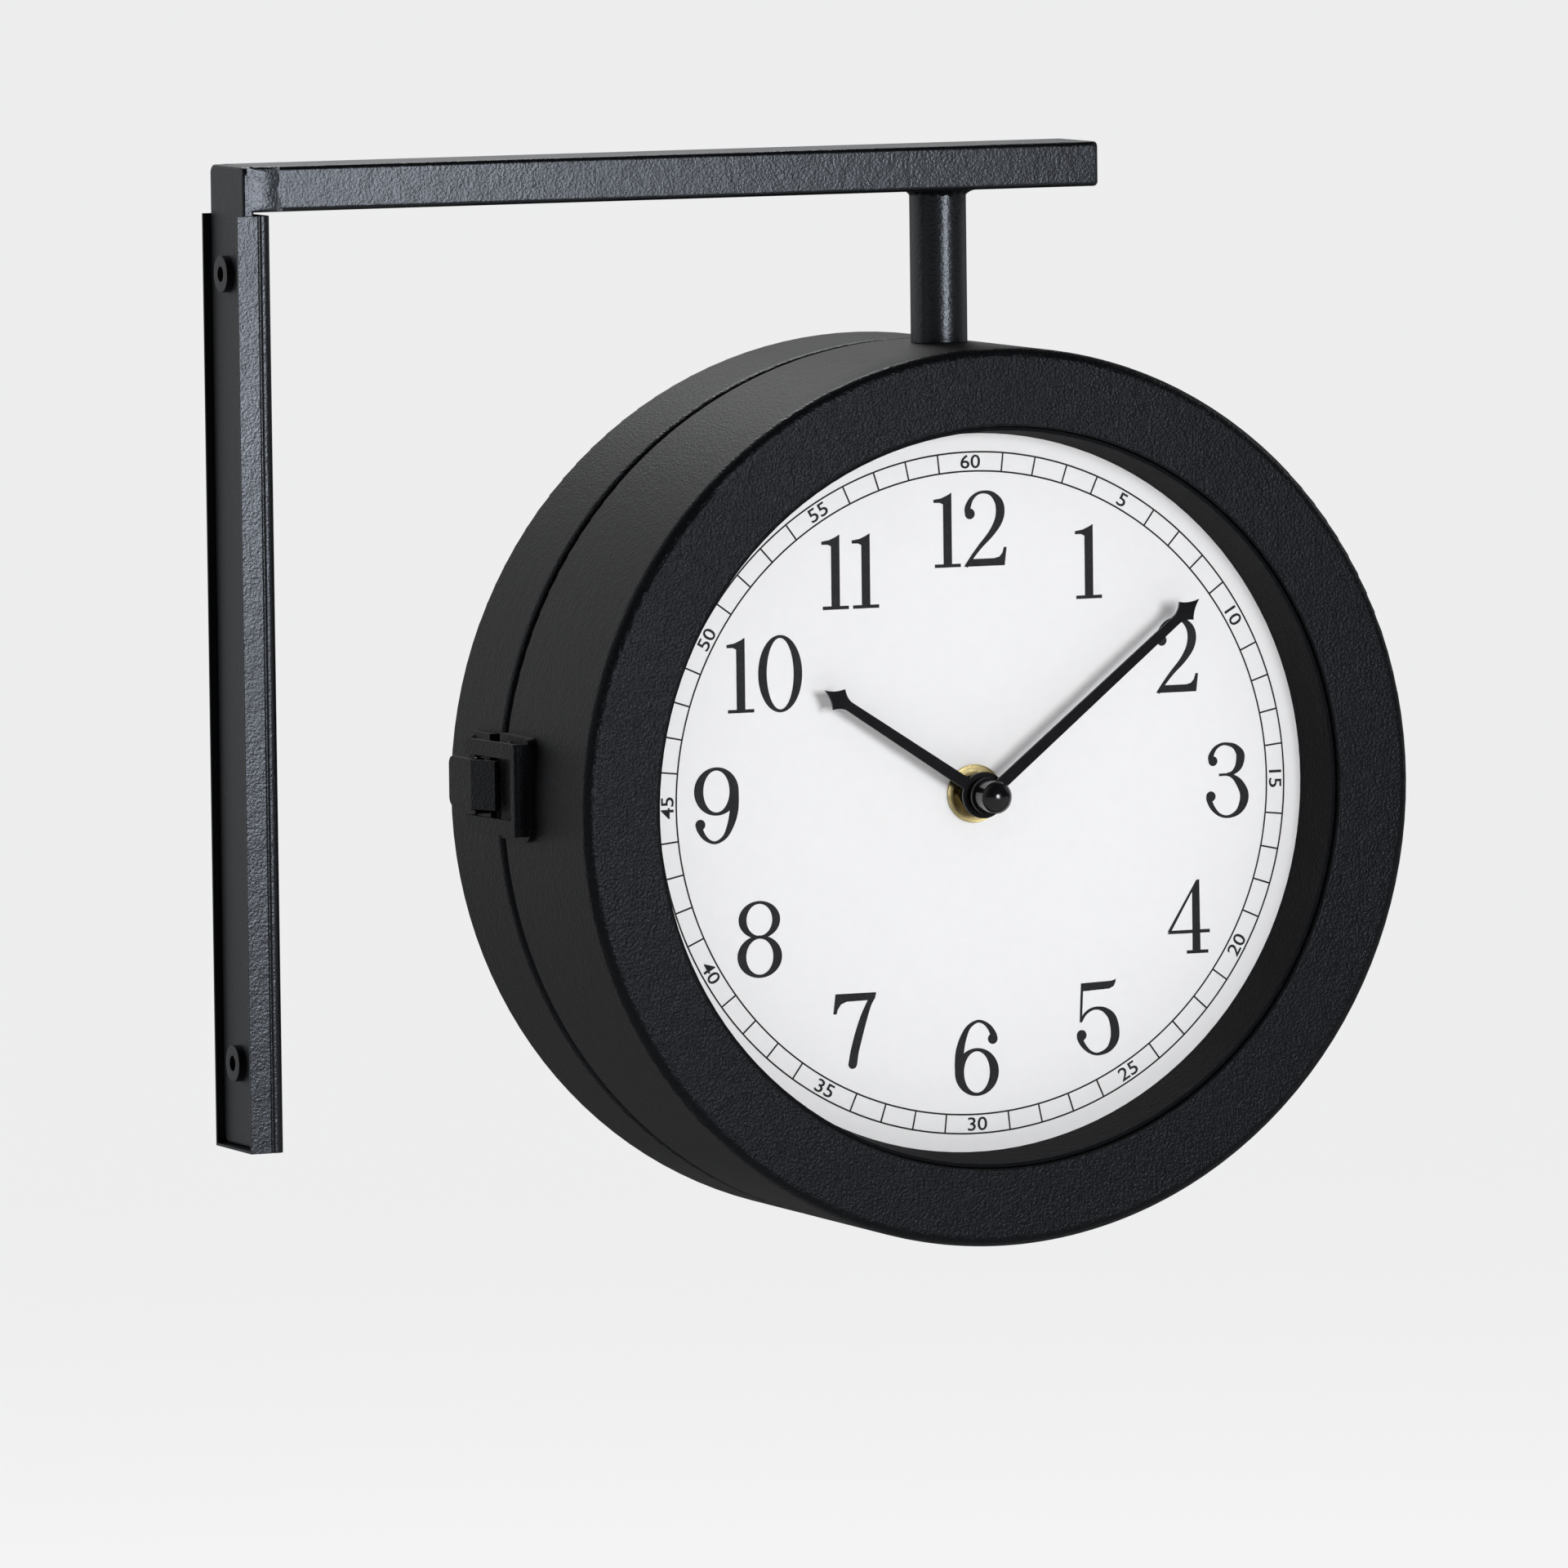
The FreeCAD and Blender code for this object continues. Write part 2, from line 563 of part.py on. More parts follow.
def make_post():
    """Tube whose foot is cut to the drum, its weld at the arm, and the bolt that holds the drum."""
    foot = "(%s + drum_radius)" % AXIS_Z
    at = ("post_place", "0")
    deep = "(%s - drum_radius / 30)" % foot
    tube = combine("Cut", "post_tube", rod("post_skin", "post_size", deep, ARM_BOTTOM, "z", at),
                   rod("post_bore", "post_size - 2 * post_wall", deep, ARM_BOTTOM, "z", at))
    post = combine("Cut", "drop_post", tube, drum_block("post_drum", ("post_place", AXIS_Z)))

    cone = doc.addObject("Part::Cone", "weld_cone")
    link(cone, "Radius1", "post_size / 2")
    link(cone, "Radius2", "post_size / 2 + weld_size")
    link(cone, "Height", "weld_size")
    place(cone, "post_place", "0", ARM_BOTTOM + " - weld_size")
    weld = combine("Cut", "post_weld", cone,
                   rod("weld_bore", "post_size", ARM_BOTTOM + " - 2 * weld_size", ARM_TOP, "z", at))

    low = foot + " + plug_rise"
    plug = combine("Cut", "post_plug",
                   rod("plug_blank", "post_size - 2 * post_wall", low, low + " + plug_length", "z", at),
                   rod("plug_bore", "bolt_size", low, low + " + plug_length", "z", at))

    half = "saddle_size / 2"
    under = "(%s - saddle_depth)" % INSIDE
    low_corner = ("0 - " + half, "0 - " + SADDLE_REACH, under + " - " + half)
    blank = box("saddle_blank", low_corner, (half, SADDLE_REACH, "drum_radius"))
    outer = rod("saddle_outer", "2 * " + INSIDE, "0 - saddle_size", "saddle_size", "y")
    cutters = fuse("saddle_cutters", [
        rod("saddle_inner", "2 * " + under, "0 - saddle_size", "saddle_size", "y"),
        rod("saddle_bore", "bolt_size + 2 * bolt_gap", "0", "drum_radius")])
    curved = combine("Common", "saddle_top", blank, outer)
    saddle = on_drum(combine("Cut", "post_saddle_plate", curved, cutters))

    corner = "(bolt_head / sqrt(3))"
    seat = "(%s + sqrt(%s ^ 2 - %s ^ 2))" % (AXIS_Z, under, corner)
    head = doc.addObject("Part::Prism", "bolt_hexagon")
    head.Polygon = 6
    link(head, "Circumradius", corner)
    link(head, "Height", "bolt_head_depth")
    place(head, "post_place", "0", seat + " - bolt_head_depth")
    bolt = fuse("post_bolt", [head, rod("bolt_shank", "bolt_size", seat + " - bolt_head_depth / 2",
                                        low + " + plug_length - bolt_size / 4", "z", at)])
    return [post, weld, plug, saddle, bolt]


# ---------------------------------------------------------------- drum
def make_shell(side, label, depth):
    """Pressed shell: flat ring, in-turned lip round the dial, wall, and in-turned rim at the seam."""
    rim = "(drum_radius - rim_width)"
    neck = "(%s + shell_wall)" % RING_OPENING
    shell = lathe(label, [
        (RING_OPENING, "0"), ("drum_radius", "0"), ("drum_radius", depth), (rim, depth),
        (rim, depth + " - shell_wall"), (INSIDE, depth + " - shell_wall"), (INSIDE, "shell_wall"),
        (neck, "shell_wall"), (neck, "lip_depth"), (RING_OPENING, "lip_depth")])
    soften(shell, "face_round", hoop("drum_radius", "0"))
    soften(shell, "face_round - shell_wall", hoop(INSIDE, "shell_wall"))
    soften(shell, "rim_round", hoop("drum_radius", depth))
    soften(shell, "rim_round - shell_wall", hoop(INSIDE, depth + " - shell_wall"))
    soften(shell, "lip_round", hoop(RING_OPENING, "0"))
    return side.at_ring(shell)


def rivet_holes(shell, side, y, z_places):
    """Pierces a shell's wall for rivets; y and z are in the drum's frame, + and - the two sides in X."""
    for x_side, z_list in z_places.items():
        for z in z_list:
            local = "(%s) - (%s)" % (y, side.ring_y) if side is FRONT else "(%s) - (%s)" % (side.ring_y, y)
            outward = (x_side == "+") == (side is FRONT)
            drawn = circles(sketch_on(shell, "YZ_Plane"), [(local, z, "rivet_size")])
            pocket(shell, drawn, "drum_radius + rivet_size", back=outward)


HINGE_RIVET_Z = ["0 - hinge_rivet_pitch / 2", "hinge_rivet_pitch / 2"]
LATCH_RIVET_Z = ["latch_rise - latch_rivet_pitch / 2", "latch_rise + latch_rivet_pitch / 2"]
LEAF_REACH = "(knuckle_size / 2 + leaf_gap)"
LEAF_MIDDLE = "(%s + leaf_width / 2)" % LEAF_REACH
STRIKE_Y = "(0 - strike_front)"
STRIKE_RIVET_Y = "(%s + strike_length * 2 / 3)" % STRIKE_Y
KEEPER_RIVET_Y = "(%s + keeper_length * 3 / 4)" % KEEPER_Y


def make_shells():
    case = make_shell(FRONT, "front_shell", "case_depth")
    drawn = circles(sketch_on(case, "XY_Plane"), [("0", "ring_reach", "bolt_size + 2 * bolt_gap")])
    pocket(case, drawn, "drum_radius + bolt_size", back=True)
    rivet_holes(case, FRONT, SEAM_Y + " - " + LEAF_MIDDLE, {"+": HINGE_RIVET_Z})
    rivet_holes(case, FRONT, STRIKE_RIVET_Y, {"-": LATCH_RIVET_Z})
    door = make_shell(REAR, "rear_shell", "door_depth")
    rivet_holes(door, REAR, SEAM_Y + " + " + LEAF_MIDDLE, {"+": HINGE_RIVET_Z})
    rivet_holes(door, REAR, KEEPER_RIVET_Y, {"-": LATCH_RIVET_Z})
    outer = "(drum_radius - gasket_inset)"
    inner = "(%s - gasket_width)" % outer
    start = "(case_depth)"
    end = start + " + seam_gap - gasket_gap"
    gasket = lathe("seam_gasket", [(inner, start), (outer, start), (outer, end), (inner, end)])
    return [case, door, FRONT.at_ring(gasket)]


def screw_places():
    """The four dial screws, on the diagonals."""
    reach = TAB_SCREW_RADIUS + " / sqrt(2)"
    return [(across + reach, up + reach) for across in ("", "0 - ") for up in ("", "0 - ")]


def make_reveal(side):
    foot = "dial_recess"
    back = foot + " - reveal_wall"
    reveal = lathe(side.name + "_reveal", [
        (REVEAL_MOUTH, "reveal_start"), (REVEAL_MOUTH + " + reveal_wall", "reveal_start"),
        (REVEAL_FOOT + " + reveal_wall", back), (DIAL_RADIUS, back), (DIAL_RADIUS, foot),
        (REVEAL_FOOT, foot)])
    drawn = sketch_on(reveal, "XZ_Plane", "0 - " + foot)
    circles(drawn, [(x, z, "tab_screw") for x, z in screw_places()])
    pocket(reveal, drawn, "2 * reveal_wall", back=True)
    return side.at_ring(reveal)


def make_dial(side):
    dial = body(side.name + "_dial")
    rounds = [("0", "0", "2 * " + DIAL_RADIUS), ("0", "0", "bushing_size")]
    drawn = circles(sketch_on(dial, "XZ_Plane"), rounds)
    circles(drawn, [(x, z, "tab_screw") for x, z in screw_places()])
    pad(dial, drawn, "dial_depth", back=True)
    return side.at_dial(dial)


def make_tabs(side):
    """Four bent tabs welded inside the shell; the dial is screwed to them."""
    tabs = body(side.name + "_dial_tabs")
    wall = "sqrt(%s ^ 2 - (tab_width / 2) ^ 2)" % INSIDE
    bend = wall + " - tab_depth"
    foot = TAB_Y + " + tab_foot"
    inside = TAB_Y + " + tab_depth"
    corners = [(TAB_INNER, TAB_Y), (wall, TAB_Y), (wall, foot), (bend, foot), (bend, inside),
               (TAB_INNER, inside)]
    arm = pad(tabs, outline(sketch_on(tabs, "XY_Plane"), corners), "tab_width", middle=True)
    drawn = circles(sketch_on(tabs, "XZ_Plane", "0 - " + TAB_Y), [(TAB_SCREW_RADIUS, "0", "tab_screw")])
    hole = pocket(tabs, drawn, "4 * tab_depth", middle=True)
    pattern = tabs.newObject("PartDesign::PolarPattern", tabs.Name + "_four")
    pattern.Originals = [arm, hole]
    pattern.Axis = (origin_of(tabs, "Y_Axis"), [""])
    pattern.Angle = 360
    pattern.Occurrences = 4
    tabs.Tip = pattern
    doc.recompute()
    side.at_ring(tabs, spin=45)

    screws = []
    start = "(dial_recess - reveal_wall)"
    end = "(%s + tab_depth)" % TAB_Y
    for i, (x, z) in enumerate(screw_places()):
        name = "%s_screw_%d" % (side.name, i)
        shank = rod(name + "_shank", "tab_screw", start, end + " + tab_screw_head_depth / 2", "y", (x, z))
        head = rod(name + "_head", "tab_screw_head", end, end + " + tab_screw_head_depth", "y", (x, z))
        screws.append(fuse(name, [shank, head]))
    return [tabs, side.at_ring(group(side.name + "_dial_screws", screws))]


# ---------------------------------------------------------------- movement and hands
def make_movement(side):
    """Quartz movement: case with its battery bay and stepped bore, cell, contacts, bushing, knob."""
    name = side.name
    case = body(name + "_movement")
    square = rectangle("movement_side", "movement_side")
    drawn = outline(sketch_on(case, "XZ_Plane", "0 - dial_depth"), square)
    pad(case, drawn, "movement_depth", back=True)
    soften(case, "movement_corner", runs_along("y"))
    bay_z = "(bay_edge + bay_width / 2 - movement_side / 2)"
    bay_length = "(cell_length + cell_nub_length + 2 * contact_depth)"
    bay = rectangle(bay_length, "bay_width", bay_z)
    drawn = outline(sketch_on(case, "XZ_Plane", "0 - " + CASE_BACK), bay)
    pocket(case, drawn, "movement_depth - bay_floor", back=True)
    for across, deep in (("arbor_size", "movement_depth"), ("hour_tube", TUBE_DEPTH)):
        drawn = sketch_on(case, "XZ_Plane", "0 - dial_depth")
        pocket(case, circles(drawn, [("0", "0", across + " + 2 * run_gap")]), deep)
    side.at_dial(case)

    cell_y = "(dial_depth + bay_floor + cell_size / 2)"
    half = "(cell_length + cell_nub_length) / 2"
    at = (cell_y, bay_z)
    cell = fuse(name + "_battery", [
        rod(name + "_cell_can", "cell_size", "0 - " + half, half + " - cell_nub_length", "x", at),
        rod(name + "_cell_nub", "cell_nub", half + " - 2 * cell_nub_length", half, "x", at)])
    side.at_dial(cell)

    plates = []
    size = "contact_size / 2"
    starts = {"minus": "0 - %s / 2" % bay_length, "plus": "%s / 2 - contact_depth" % bay_length}
    for mark, start in starts.items():
        low = (start, "%s - %s" % (cell_y, size), "%s - %s" % (bay_z, size))
        high = (start + " + contact_depth", "%s + %s" % (cell_y, size), "%s + %s" % (bay_z, size))
        plates.append(box("%s_contact_%s" % (name, mark), low, high))
    contacts = side.at_dial(group(name + "_contacts", plates))

    inner = "(hour_tube / 2 + run_gap)"
    bushing = side.at_dial(lathe(name + "_bushing", [
        (inner, "dial_depth"), ("bushing_size / 2", "dial_depth"), ("bushing_size / 2", "0 - bushing_reach"),
        (inner, "0 - bushing_reach")]))
    washer = side.at_dial(lathe(name + "_washer", [
        ("bushing_size / 2", "0"), ("washer_size / 2", "0"), ("washer_size / 2", "0 - washer_depth"),
        ("bushing_size / 2", "0 - washer_depth")]))

    hexagon = doc.addObject("Part::Prism", name + "_nut_hexagon")
    hexagon.Polygon = 6
    link(hexagon, "Circumradius", "nut_size / sqrt(3)")
    link(hexagon, "Height", "nut_depth")
    place(hexagon, "0", "0 - washer_depth", "0", LYING)
    bore = rod(name + "_nut_bore", "bushing_size", "0 - bushing_reach", "0", "y")
    nut = side.at_dial(combine("Cut", name + "_nut", hexagon, bore))
    return [case, cell, contacts, bushing, washer, nut]


def blade(owner, length, level):
    """Flat blade with a spade head whose flanks are hollow, pointing up, at this level over the dial."""
    corner = "(%s - head_length)" % length
    neck = "(%s - head_shoulder)" % corner
    right = [("hand_root / 2", "0"), ("hand_neck / 2", neck), ("head_width / 2", corner), ("0", length)]
    left = [("0 - (%s)" % x, z) for x, z in right[-2::-1]]
    hollows = {1: ("shoulder_hollow", -1), 2: ("head_hollow", -1), 3: ("head_hollow", -1),
               4: ("shoulder_hollow", -1)}
    drawn = outline(sketch_on(owner, "XZ_Plane", level + " - hand_depth"), right + left, hollows)
    pad(owner, drawn, "hand_depth")


def disc(owner, across, start, end):
    """A round boss between two levels over the dial."""
    drawn = circles(sketch_on(owner, "XZ_Plane", start), [("0", "0", across)])
    pad(owner, drawn, "(%s) - (%s)" % (end, start))


def make_hands(side):
    name = side.name
    hour = body(name + "_hour_hand")
    blade(hour, "hour_length", "hour_level")
    disc(hour, "hour_disc", "hour_level - hand_depth", "hour_level")
    disc(hour, "hour_collet", "bushing_reach + face_gap", "hour_level - hand_depth")
    disc(hour, "hour_tube", "0 - dial_depth - %s + face_gap" % TUBE_DEPTH, "bushing_reach + face_gap")
    drawn = circles(sketch_on(hour, "XZ_Plane", "minute_level"), [("0", "0", "arbor_size + 2 * run_gap")])
    pocket(hour, drawn, "minute_level + %s" % CASE_BACK)
    side.at_dial(hour, spin=VALUE["hour_angle"])

    minute = body(name + "_minute_hand")
    blade(minute, "minute_length", "minute_level")
    disc(minute, "minute_disc", "minute_level - hand_depth", "minute_level")
    disc(minute, "minute_collet", "hour_level + face_gap", "minute_level - hand_depth")
    drawn = circles(sketch_on(minute, "XZ_Plane", "minute_level"), [("0", "0", "arbor_size")])
    pocket(minute, drawn, "minute_level")
    side.at_dial(minute, spin=VALUE["minute_angle"])

    knob_start = "(%s + knob_gap)" % CASE_BACK
    arbor = side.at_dial(lathe(name + "_arbor", [
        ("0", knob_start + " + knob_depth"), ("arbor_size / 2", knob_start + " + knob_depth"),
        ("arbor_size / 2", "0 - minute_level - cap_grip"), ("0", "0 - minute_level - cap_grip")]))
    knob = side.at_dial(lathe(name + "_set_knob", [
        ("arbor_size / 2", knob_start), ("knob_size / 2", knob_start),
        ("knob_size / 2", knob_start + " + knob_depth"), ("arbor_size / 2", knob_start + " + knob_depth")]))
    soften(knob, "knob_depth / 8", hoop("knob_size / 2", knob_start + " + knob_depth"))

    rim = "(0 - minute_level - cap_length)"
    top = "(%s - cap_dome)" % rim
    dome = "((cap_size / 2) ^ 2 + cap_dome ^ 2) / (2 * cap_dome)"
    grip = "(0 - minute_level - cap_grip)"
    cap = side.at_dial(lathe(name + "_hub_cap", [
        ("arbor_size / 2", "0 - minute_level"), ("cap_size / 2", "0 - minute_level"), ("cap_size / 2", rim),
        ("0", top), ("0", grip), ("arbor_size / 2", grip)], {2: (dome, -1)}))
    return [hour, minute, arbor, knob, cap]


# ---------------------------------------------------------------- hinge, on the side away from the wall
def make_leaf(label, sign, knuckles):
    """Leaf with a flat outside and an inside that follows the drum; sign is its side of the seam."""
    half = "hinge_height / 2"
    near_y = "%s %s %s" % (SEAM_Y, sign, LEAF_REACH)
    far_y = "%s %s leaf_width" % (near_y, sign)
    low_y, high_y = (far_y, near_y) if sign == "-" else (near_y, far_y)
    deep, outside = "drum_radius - leaf_sink", "drum_radius + leaf_depth"
    members = [box(label + "_plate", (deep, low_y, "0 - " + half), (outside, high_y, half))]
    for i, (start, end) in enumerate(knuckles):
        web_low, web_high = (near_y, SEAM_Y) if sign == "-" else (SEAM_Y, near_y)
        web = ("drum_radius", web_low, start)
        members.append(box("%s_web_%d" % (label, i), web, (outside, web_high, end)))
        members.append(rod("%s_knuckle_%d" % (label, i), "knuckle_size", start, end, "z", (HINGE_X, SEAM_Y)))
    blank = fuse(label + "_blank", members)
    bore = "hinge_pin" if sign == "-" else "hinge_pin + 2 * run_gap"
    cutters = [drum_block(label + "_drum"),
               rod(label + "_pin_bore", bore, "0 - hinge_height", "hinge_height", "z", (HINGE_X, SEAM_Y))]
    for i, z in enumerate(HINGE_RIVET_Z):
        middle = "%s %s %s" % (SEAM_Y, sign, LEAF_MIDDLE)
        cutters.append(rod("%s_rivet_bore_%d" % (label, i), "rivet_size", "0", HINGE_X, "x", (middle, z)))
    return on_drum(combine("Cut", label, blank, fuse(label + "_cutters", cutters)))


def make_rivets(label, outward, y, z_list, seat):
    """Rivets along X, coned head outside and flat one inside; seat is how far the metal stands off."""
    rivets = []
    for i, z in enumerate(z_list):
        name = "%s_%d" % (label, i)
        outside = "(drum_radius + %s)" % seat
        inside = "sqrt(%s ^ 2 - (abs(%s) + rivet_head / 2) ^ 2)" % (INSIDE, z)
        shank = rod(name + "_shank", "rivet_size", inside + " - rivet_head_depth / 2",
                    outside + " + rivet_head_depth / 2", "x", (y, z))
        tail = rod(name + "_tail", "rivet_head", inside + " - rivet_head_depth", inside, "x", (y, z))
        head = doc.addObject("Part::Cone", name + "_head")
        link(head, "Radius1", "rivet_head / 2")
        link(head, "Radius2", "rivet_size / 2")
        link(head, "Height", "rivet_head_depth")
        place(head, outside, y, z, ALONG_X)
        rivets.append(fuse(name, [shank, tail, head]))
    return on_drum(group(label, rivets), None if outward == "+" else Z_TURN)


def make_hinge():
    half, mid = "hinge_height / 2", "hinge_middle / 2"
    outer = [("0 - " + half, "0 - %s - hinge_play" % mid), (mid + " + hinge_play", half)]
    case_leaf = make_leaf("hinge_leaf_case", "-", outer)
    door_leaf = make_leaf("hinge_leaf_door", "+", [("0 - " + mid, mid)])
    at = (HINGE_X, SEAM_Y)
    foot = "0 - %s - hinge_pin_head_depth" % half
    pin = on_drum(fuse("hinge_pin_rod", [
        rod("hinge_pin_shank", "hinge_pin", "0 - " + half, half, "z", at),
        rod("hinge_head_low", "hinge_pin_head", foot, "0 - " + half, "z", at),
        rod("hinge_head_high", "hinge_pin_head", half, half + " + hinge_pin_head_depth", "z", at)]))
    return [case_leaf, door_leaf, pin,
            make_rivets("hinge_rivets_case", "+", SEAM_Y + " - " + LEAF_MIDDLE, HINGE_RIVET_Z, "leaf_depth"),
            make_rivets("hinge_rivets_door", "+", SEAM_Y + " + " + LEAF_MIDDLE, HINGE_RIVET_Z, "leaf_depth")]


# ---------------------------------------------------------------- latch, on the side next to the wall
def off(rise):
    """X of a point that stands this far off the drum, on the latch's side."""
    return "(0 - drum_radius - (%s))" % rise


def latch_box(name, rises, ys, half_height):
    low, high = rises
    return box(name, (off(high), ys[0], "latch_rise - (%s)" % half_height),
               (off(low), ys[1], "latch_rise + (%s)" % half_height))


def latch_sheet(label, corners, height):
    """A bent sheet drawn as (rise, y) corners and padded along Z about the latch's middle."""
    made = body(label)
    spots = [(off(rise), y) for rise, y in corners]
    drawn = outline(sketch_on(made, "XY_Plane", "latch_rise"), spots)
    pad(made, drawn, height, middle=True)
    return made


def make_strike():
    """On the first half: foot, wall, and a raised plate with a slot that is open towards the seam."""
    wall = "(%s + bridge_set)" % STRIKE_Y
    end = "(%s + bridge_length)" % wall
    tip = "(bridge_rise + bridge_flare)"
    bridge = latch_sheet("strike_bridge", [
        ("0 - leaf_sink", wall), ("bridge_rise", wall), (tip, end), (tip + " - plate_metal", end),
        ("bridge_rise - plate_metal", wall + " + plate_metal"), ("0 - leaf_sink", wall + " + plate_metal")],
        "bridge_height")
    soften(bridge, "plate_metal", runs_along("z", ("x", off("bridge_rise")), ("y", wall)))
    soften(bridge, "bridge_corner", runs_along("x", ("y", end)))
    foot = body("strike_foot")
    half = "strike_height / 2"
    ends = (STRIKE_Y, "%s + strike_length" % STRIKE_Y)
    corners = [(ends[0], "latch_rise - " + half), (ends[1], "latch_rise - " + half),
               (ends[1], "latch_rise + " + half), (ends[0], "latch_rise + " + half)]
    drawn = outline(sketch_on(foot, "YZ_Plane", off("plate_metal")), corners)
    pad(foot, drawn, "plate_metal + leaf_sink")
    soften(foot, "strike_corner", runs_along("x", ("y", ends[0])))
    blank = fuse("strike_blank", [bridge, foot])
    slot = latch_box("strike_slot", ("plate_metal", "2 * " + tip),
                     (wall + " + notch_web", end + " + notch_web"), "notch_height / 2")
    cutters = [drum_block("strike_drum"), slot]
    for i, z in enumerate(LATCH_RIVET_Z):
        cutters.append(rod("strike_rivet_bore_%d" % i, "rivet_size", off("plate_metal * 2"), "0", "x",
                           (STRIKE_RIVET_Y, z)))
    return on_drum(combine("Cut", "latch_strike", blank, fuse("strike_cutters", cutters)))


def make_latch_base():
    """On the second half: plate with two ears that carry the thumb lever's pin."""
    plate = body("keeper_plate")
    half = "keeper_height / 2"
    end = "(%s + keeper_length)" % KEEPER_Y
    corners = [(KEEPER_Y, "latch_rise - " + half), (end, "latch_rise - " + half),
               (end, "latch_rise + " + half), (KEEPER_Y, "latch_rise + " + half)]
    pad(plate, outline(sketch_on(plate, "YZ_Plane", off("plate_metal")), corners), "plate_metal + leaf_sink")
    soften(plate, "keeper_corner", runs_along("x", ("y", end)))
    members = [plate]
    inner = "(lever_height / 2 + lever_play)"
    for i, (low, high) in enumerate(((inner, inner + " + ear_depth"),
                                     ("0 - %s - ear_depth" % inner, "0 - " + inner))):
        members.append(box("keeper_ear_%d" % i,
                           (off("ear_rise"), PIN_Y + " - ear_width / 2", "latch_rise + " + low),
                           (off("0"), PIN_Y + " + ear_width / 2", "latch_rise + " + high)))
    bore = rod("keeper_pin_bore", "lever_pin", "latch_rise - keeper_height", "latch_rise + keeper_height",
               "z", (off("lever_pin_rise"), PIN_Y))
    cutters = [drum_block("keeper_drum"), bore]
    for i, z in enumerate(LATCH_RIVET_Z):
        cutters.append(rod("keeper_rivet_bore_%d" % i, "rivet_size", off("plate_metal * 2"), "0", "x",
                           (KEEPER_RIVET_Y, z)))
    blank = fuse("keeper_blank", members)
    return on_drum(combine("Cut", "latch_base", blank, fuse("keeper_cutters", cutters)))


def make_lever():
    """Thumb lever: tab behind the pin, nose in front of it, eye round the pin."""
    nose = KEEPER_Y + " - lever_nose"
    end = KEEPER_Y + " + lever_tab"
    under = "lever_top - plate_metal"
    tab = latch_sheet("lever_tab_sheet", [
        ("lever_nose_rise", nose), ("lever_top", KEEPER_Y), ("lever_top", end), (under, end),
        (under, KEEPER_Y + " + plate_metal / 2"), ("lever_nose_rise - plate_metal", nose)], "lever_height")
    soften(tab, "lever_corner", runs_along("x", ("y", end)))
    half = "lever_height / 2"
    at = (off("lever_pin_rise"), PIN_Y)
    eye = rod("lever_eye_rod", "lever_eye", "latch_rise - " + half, "latch_rise + " + half, "z", at)
    neck = latch_box("lever_neck", ("lever_pin_rise", "lever_top - plate_metal / 2"),
                     (PIN_Y + " - lever_eye / 2", PIN_Y + " + lever_eye / 2"), half)
    blank = fuse("lever_blank", [tab, eye, neck])
    bore = rod("lever_pin_bore", "lever_pin + 2 * run_gap", "latch_rise - lever_height",
               "latch_rise + lever_height", "z", at)
    reach = "(%s + lever_play + ear_depth)" % half
    pin = rod("latch_pin", "lever_pin", "%s + latch_rise - %s" % (AXIS_Z, reach),
              "%s + latch_rise + %s" % (AXIS_Z, reach), "z", ("post_place + " + at[0], at[1]))
    return [on_drum(combine("Cut", "latch_lever", blank, bore)), pin]


def make_latch():
    return [make_strike(), make_latch_base()] + make_lever() + [
        make_rivets("latch_rivets_case", "-", "0 - " + STRIKE_RIVET_Y, LATCH_RIVET_Z, "plate_metal"),
        make_rivets("latch_rivets_door", "-", "0 - " + KEEPER_RIVET_Y, LATCH_RIVET_Z, "plate_metal")]


def check(pieces):
    for item in doc.Objects:
        if any(word in item.State for word in ("Invalid", "Error")):
            raise RuntimeError("failed: " + item.Label)
    for piece in pieces:
        if piece.Shape.isNull() or not piece.Shape.isValid() or not piece.Shape.Solids:
            raise RuntimeError("no valid solid: " + piece.Label)


def main():
    pieces = [make_upright(), make_wall_pads(), make_cover()] + make_arm() + make_post() + make_shells()
    for side in (FRONT, REAR):
        pieces += [make_reveal(side), make_dial(side)] + make_tabs(side)
        pieces += make_movement(side) + make_hands(side)
    pieces += make_hinge() + make_latch()
    doc.recompute()
    check(pieces)
    os.makedirs("parts", exist_ok=True)
    for piece in pieces:
        piece.Shape.exportStep("parts/%s.step" % piece.Label)
        span = piece.Shape.BoundBox
        ends = (span.XMin, span.XMax, span.YMin, span.YMax, span.ZMin, span.ZMax)
        print("%-22s %d solid(s)" % (piece.Label, len(piece.Shape.Solids)), "%.1f " * 6 % ends)


main()
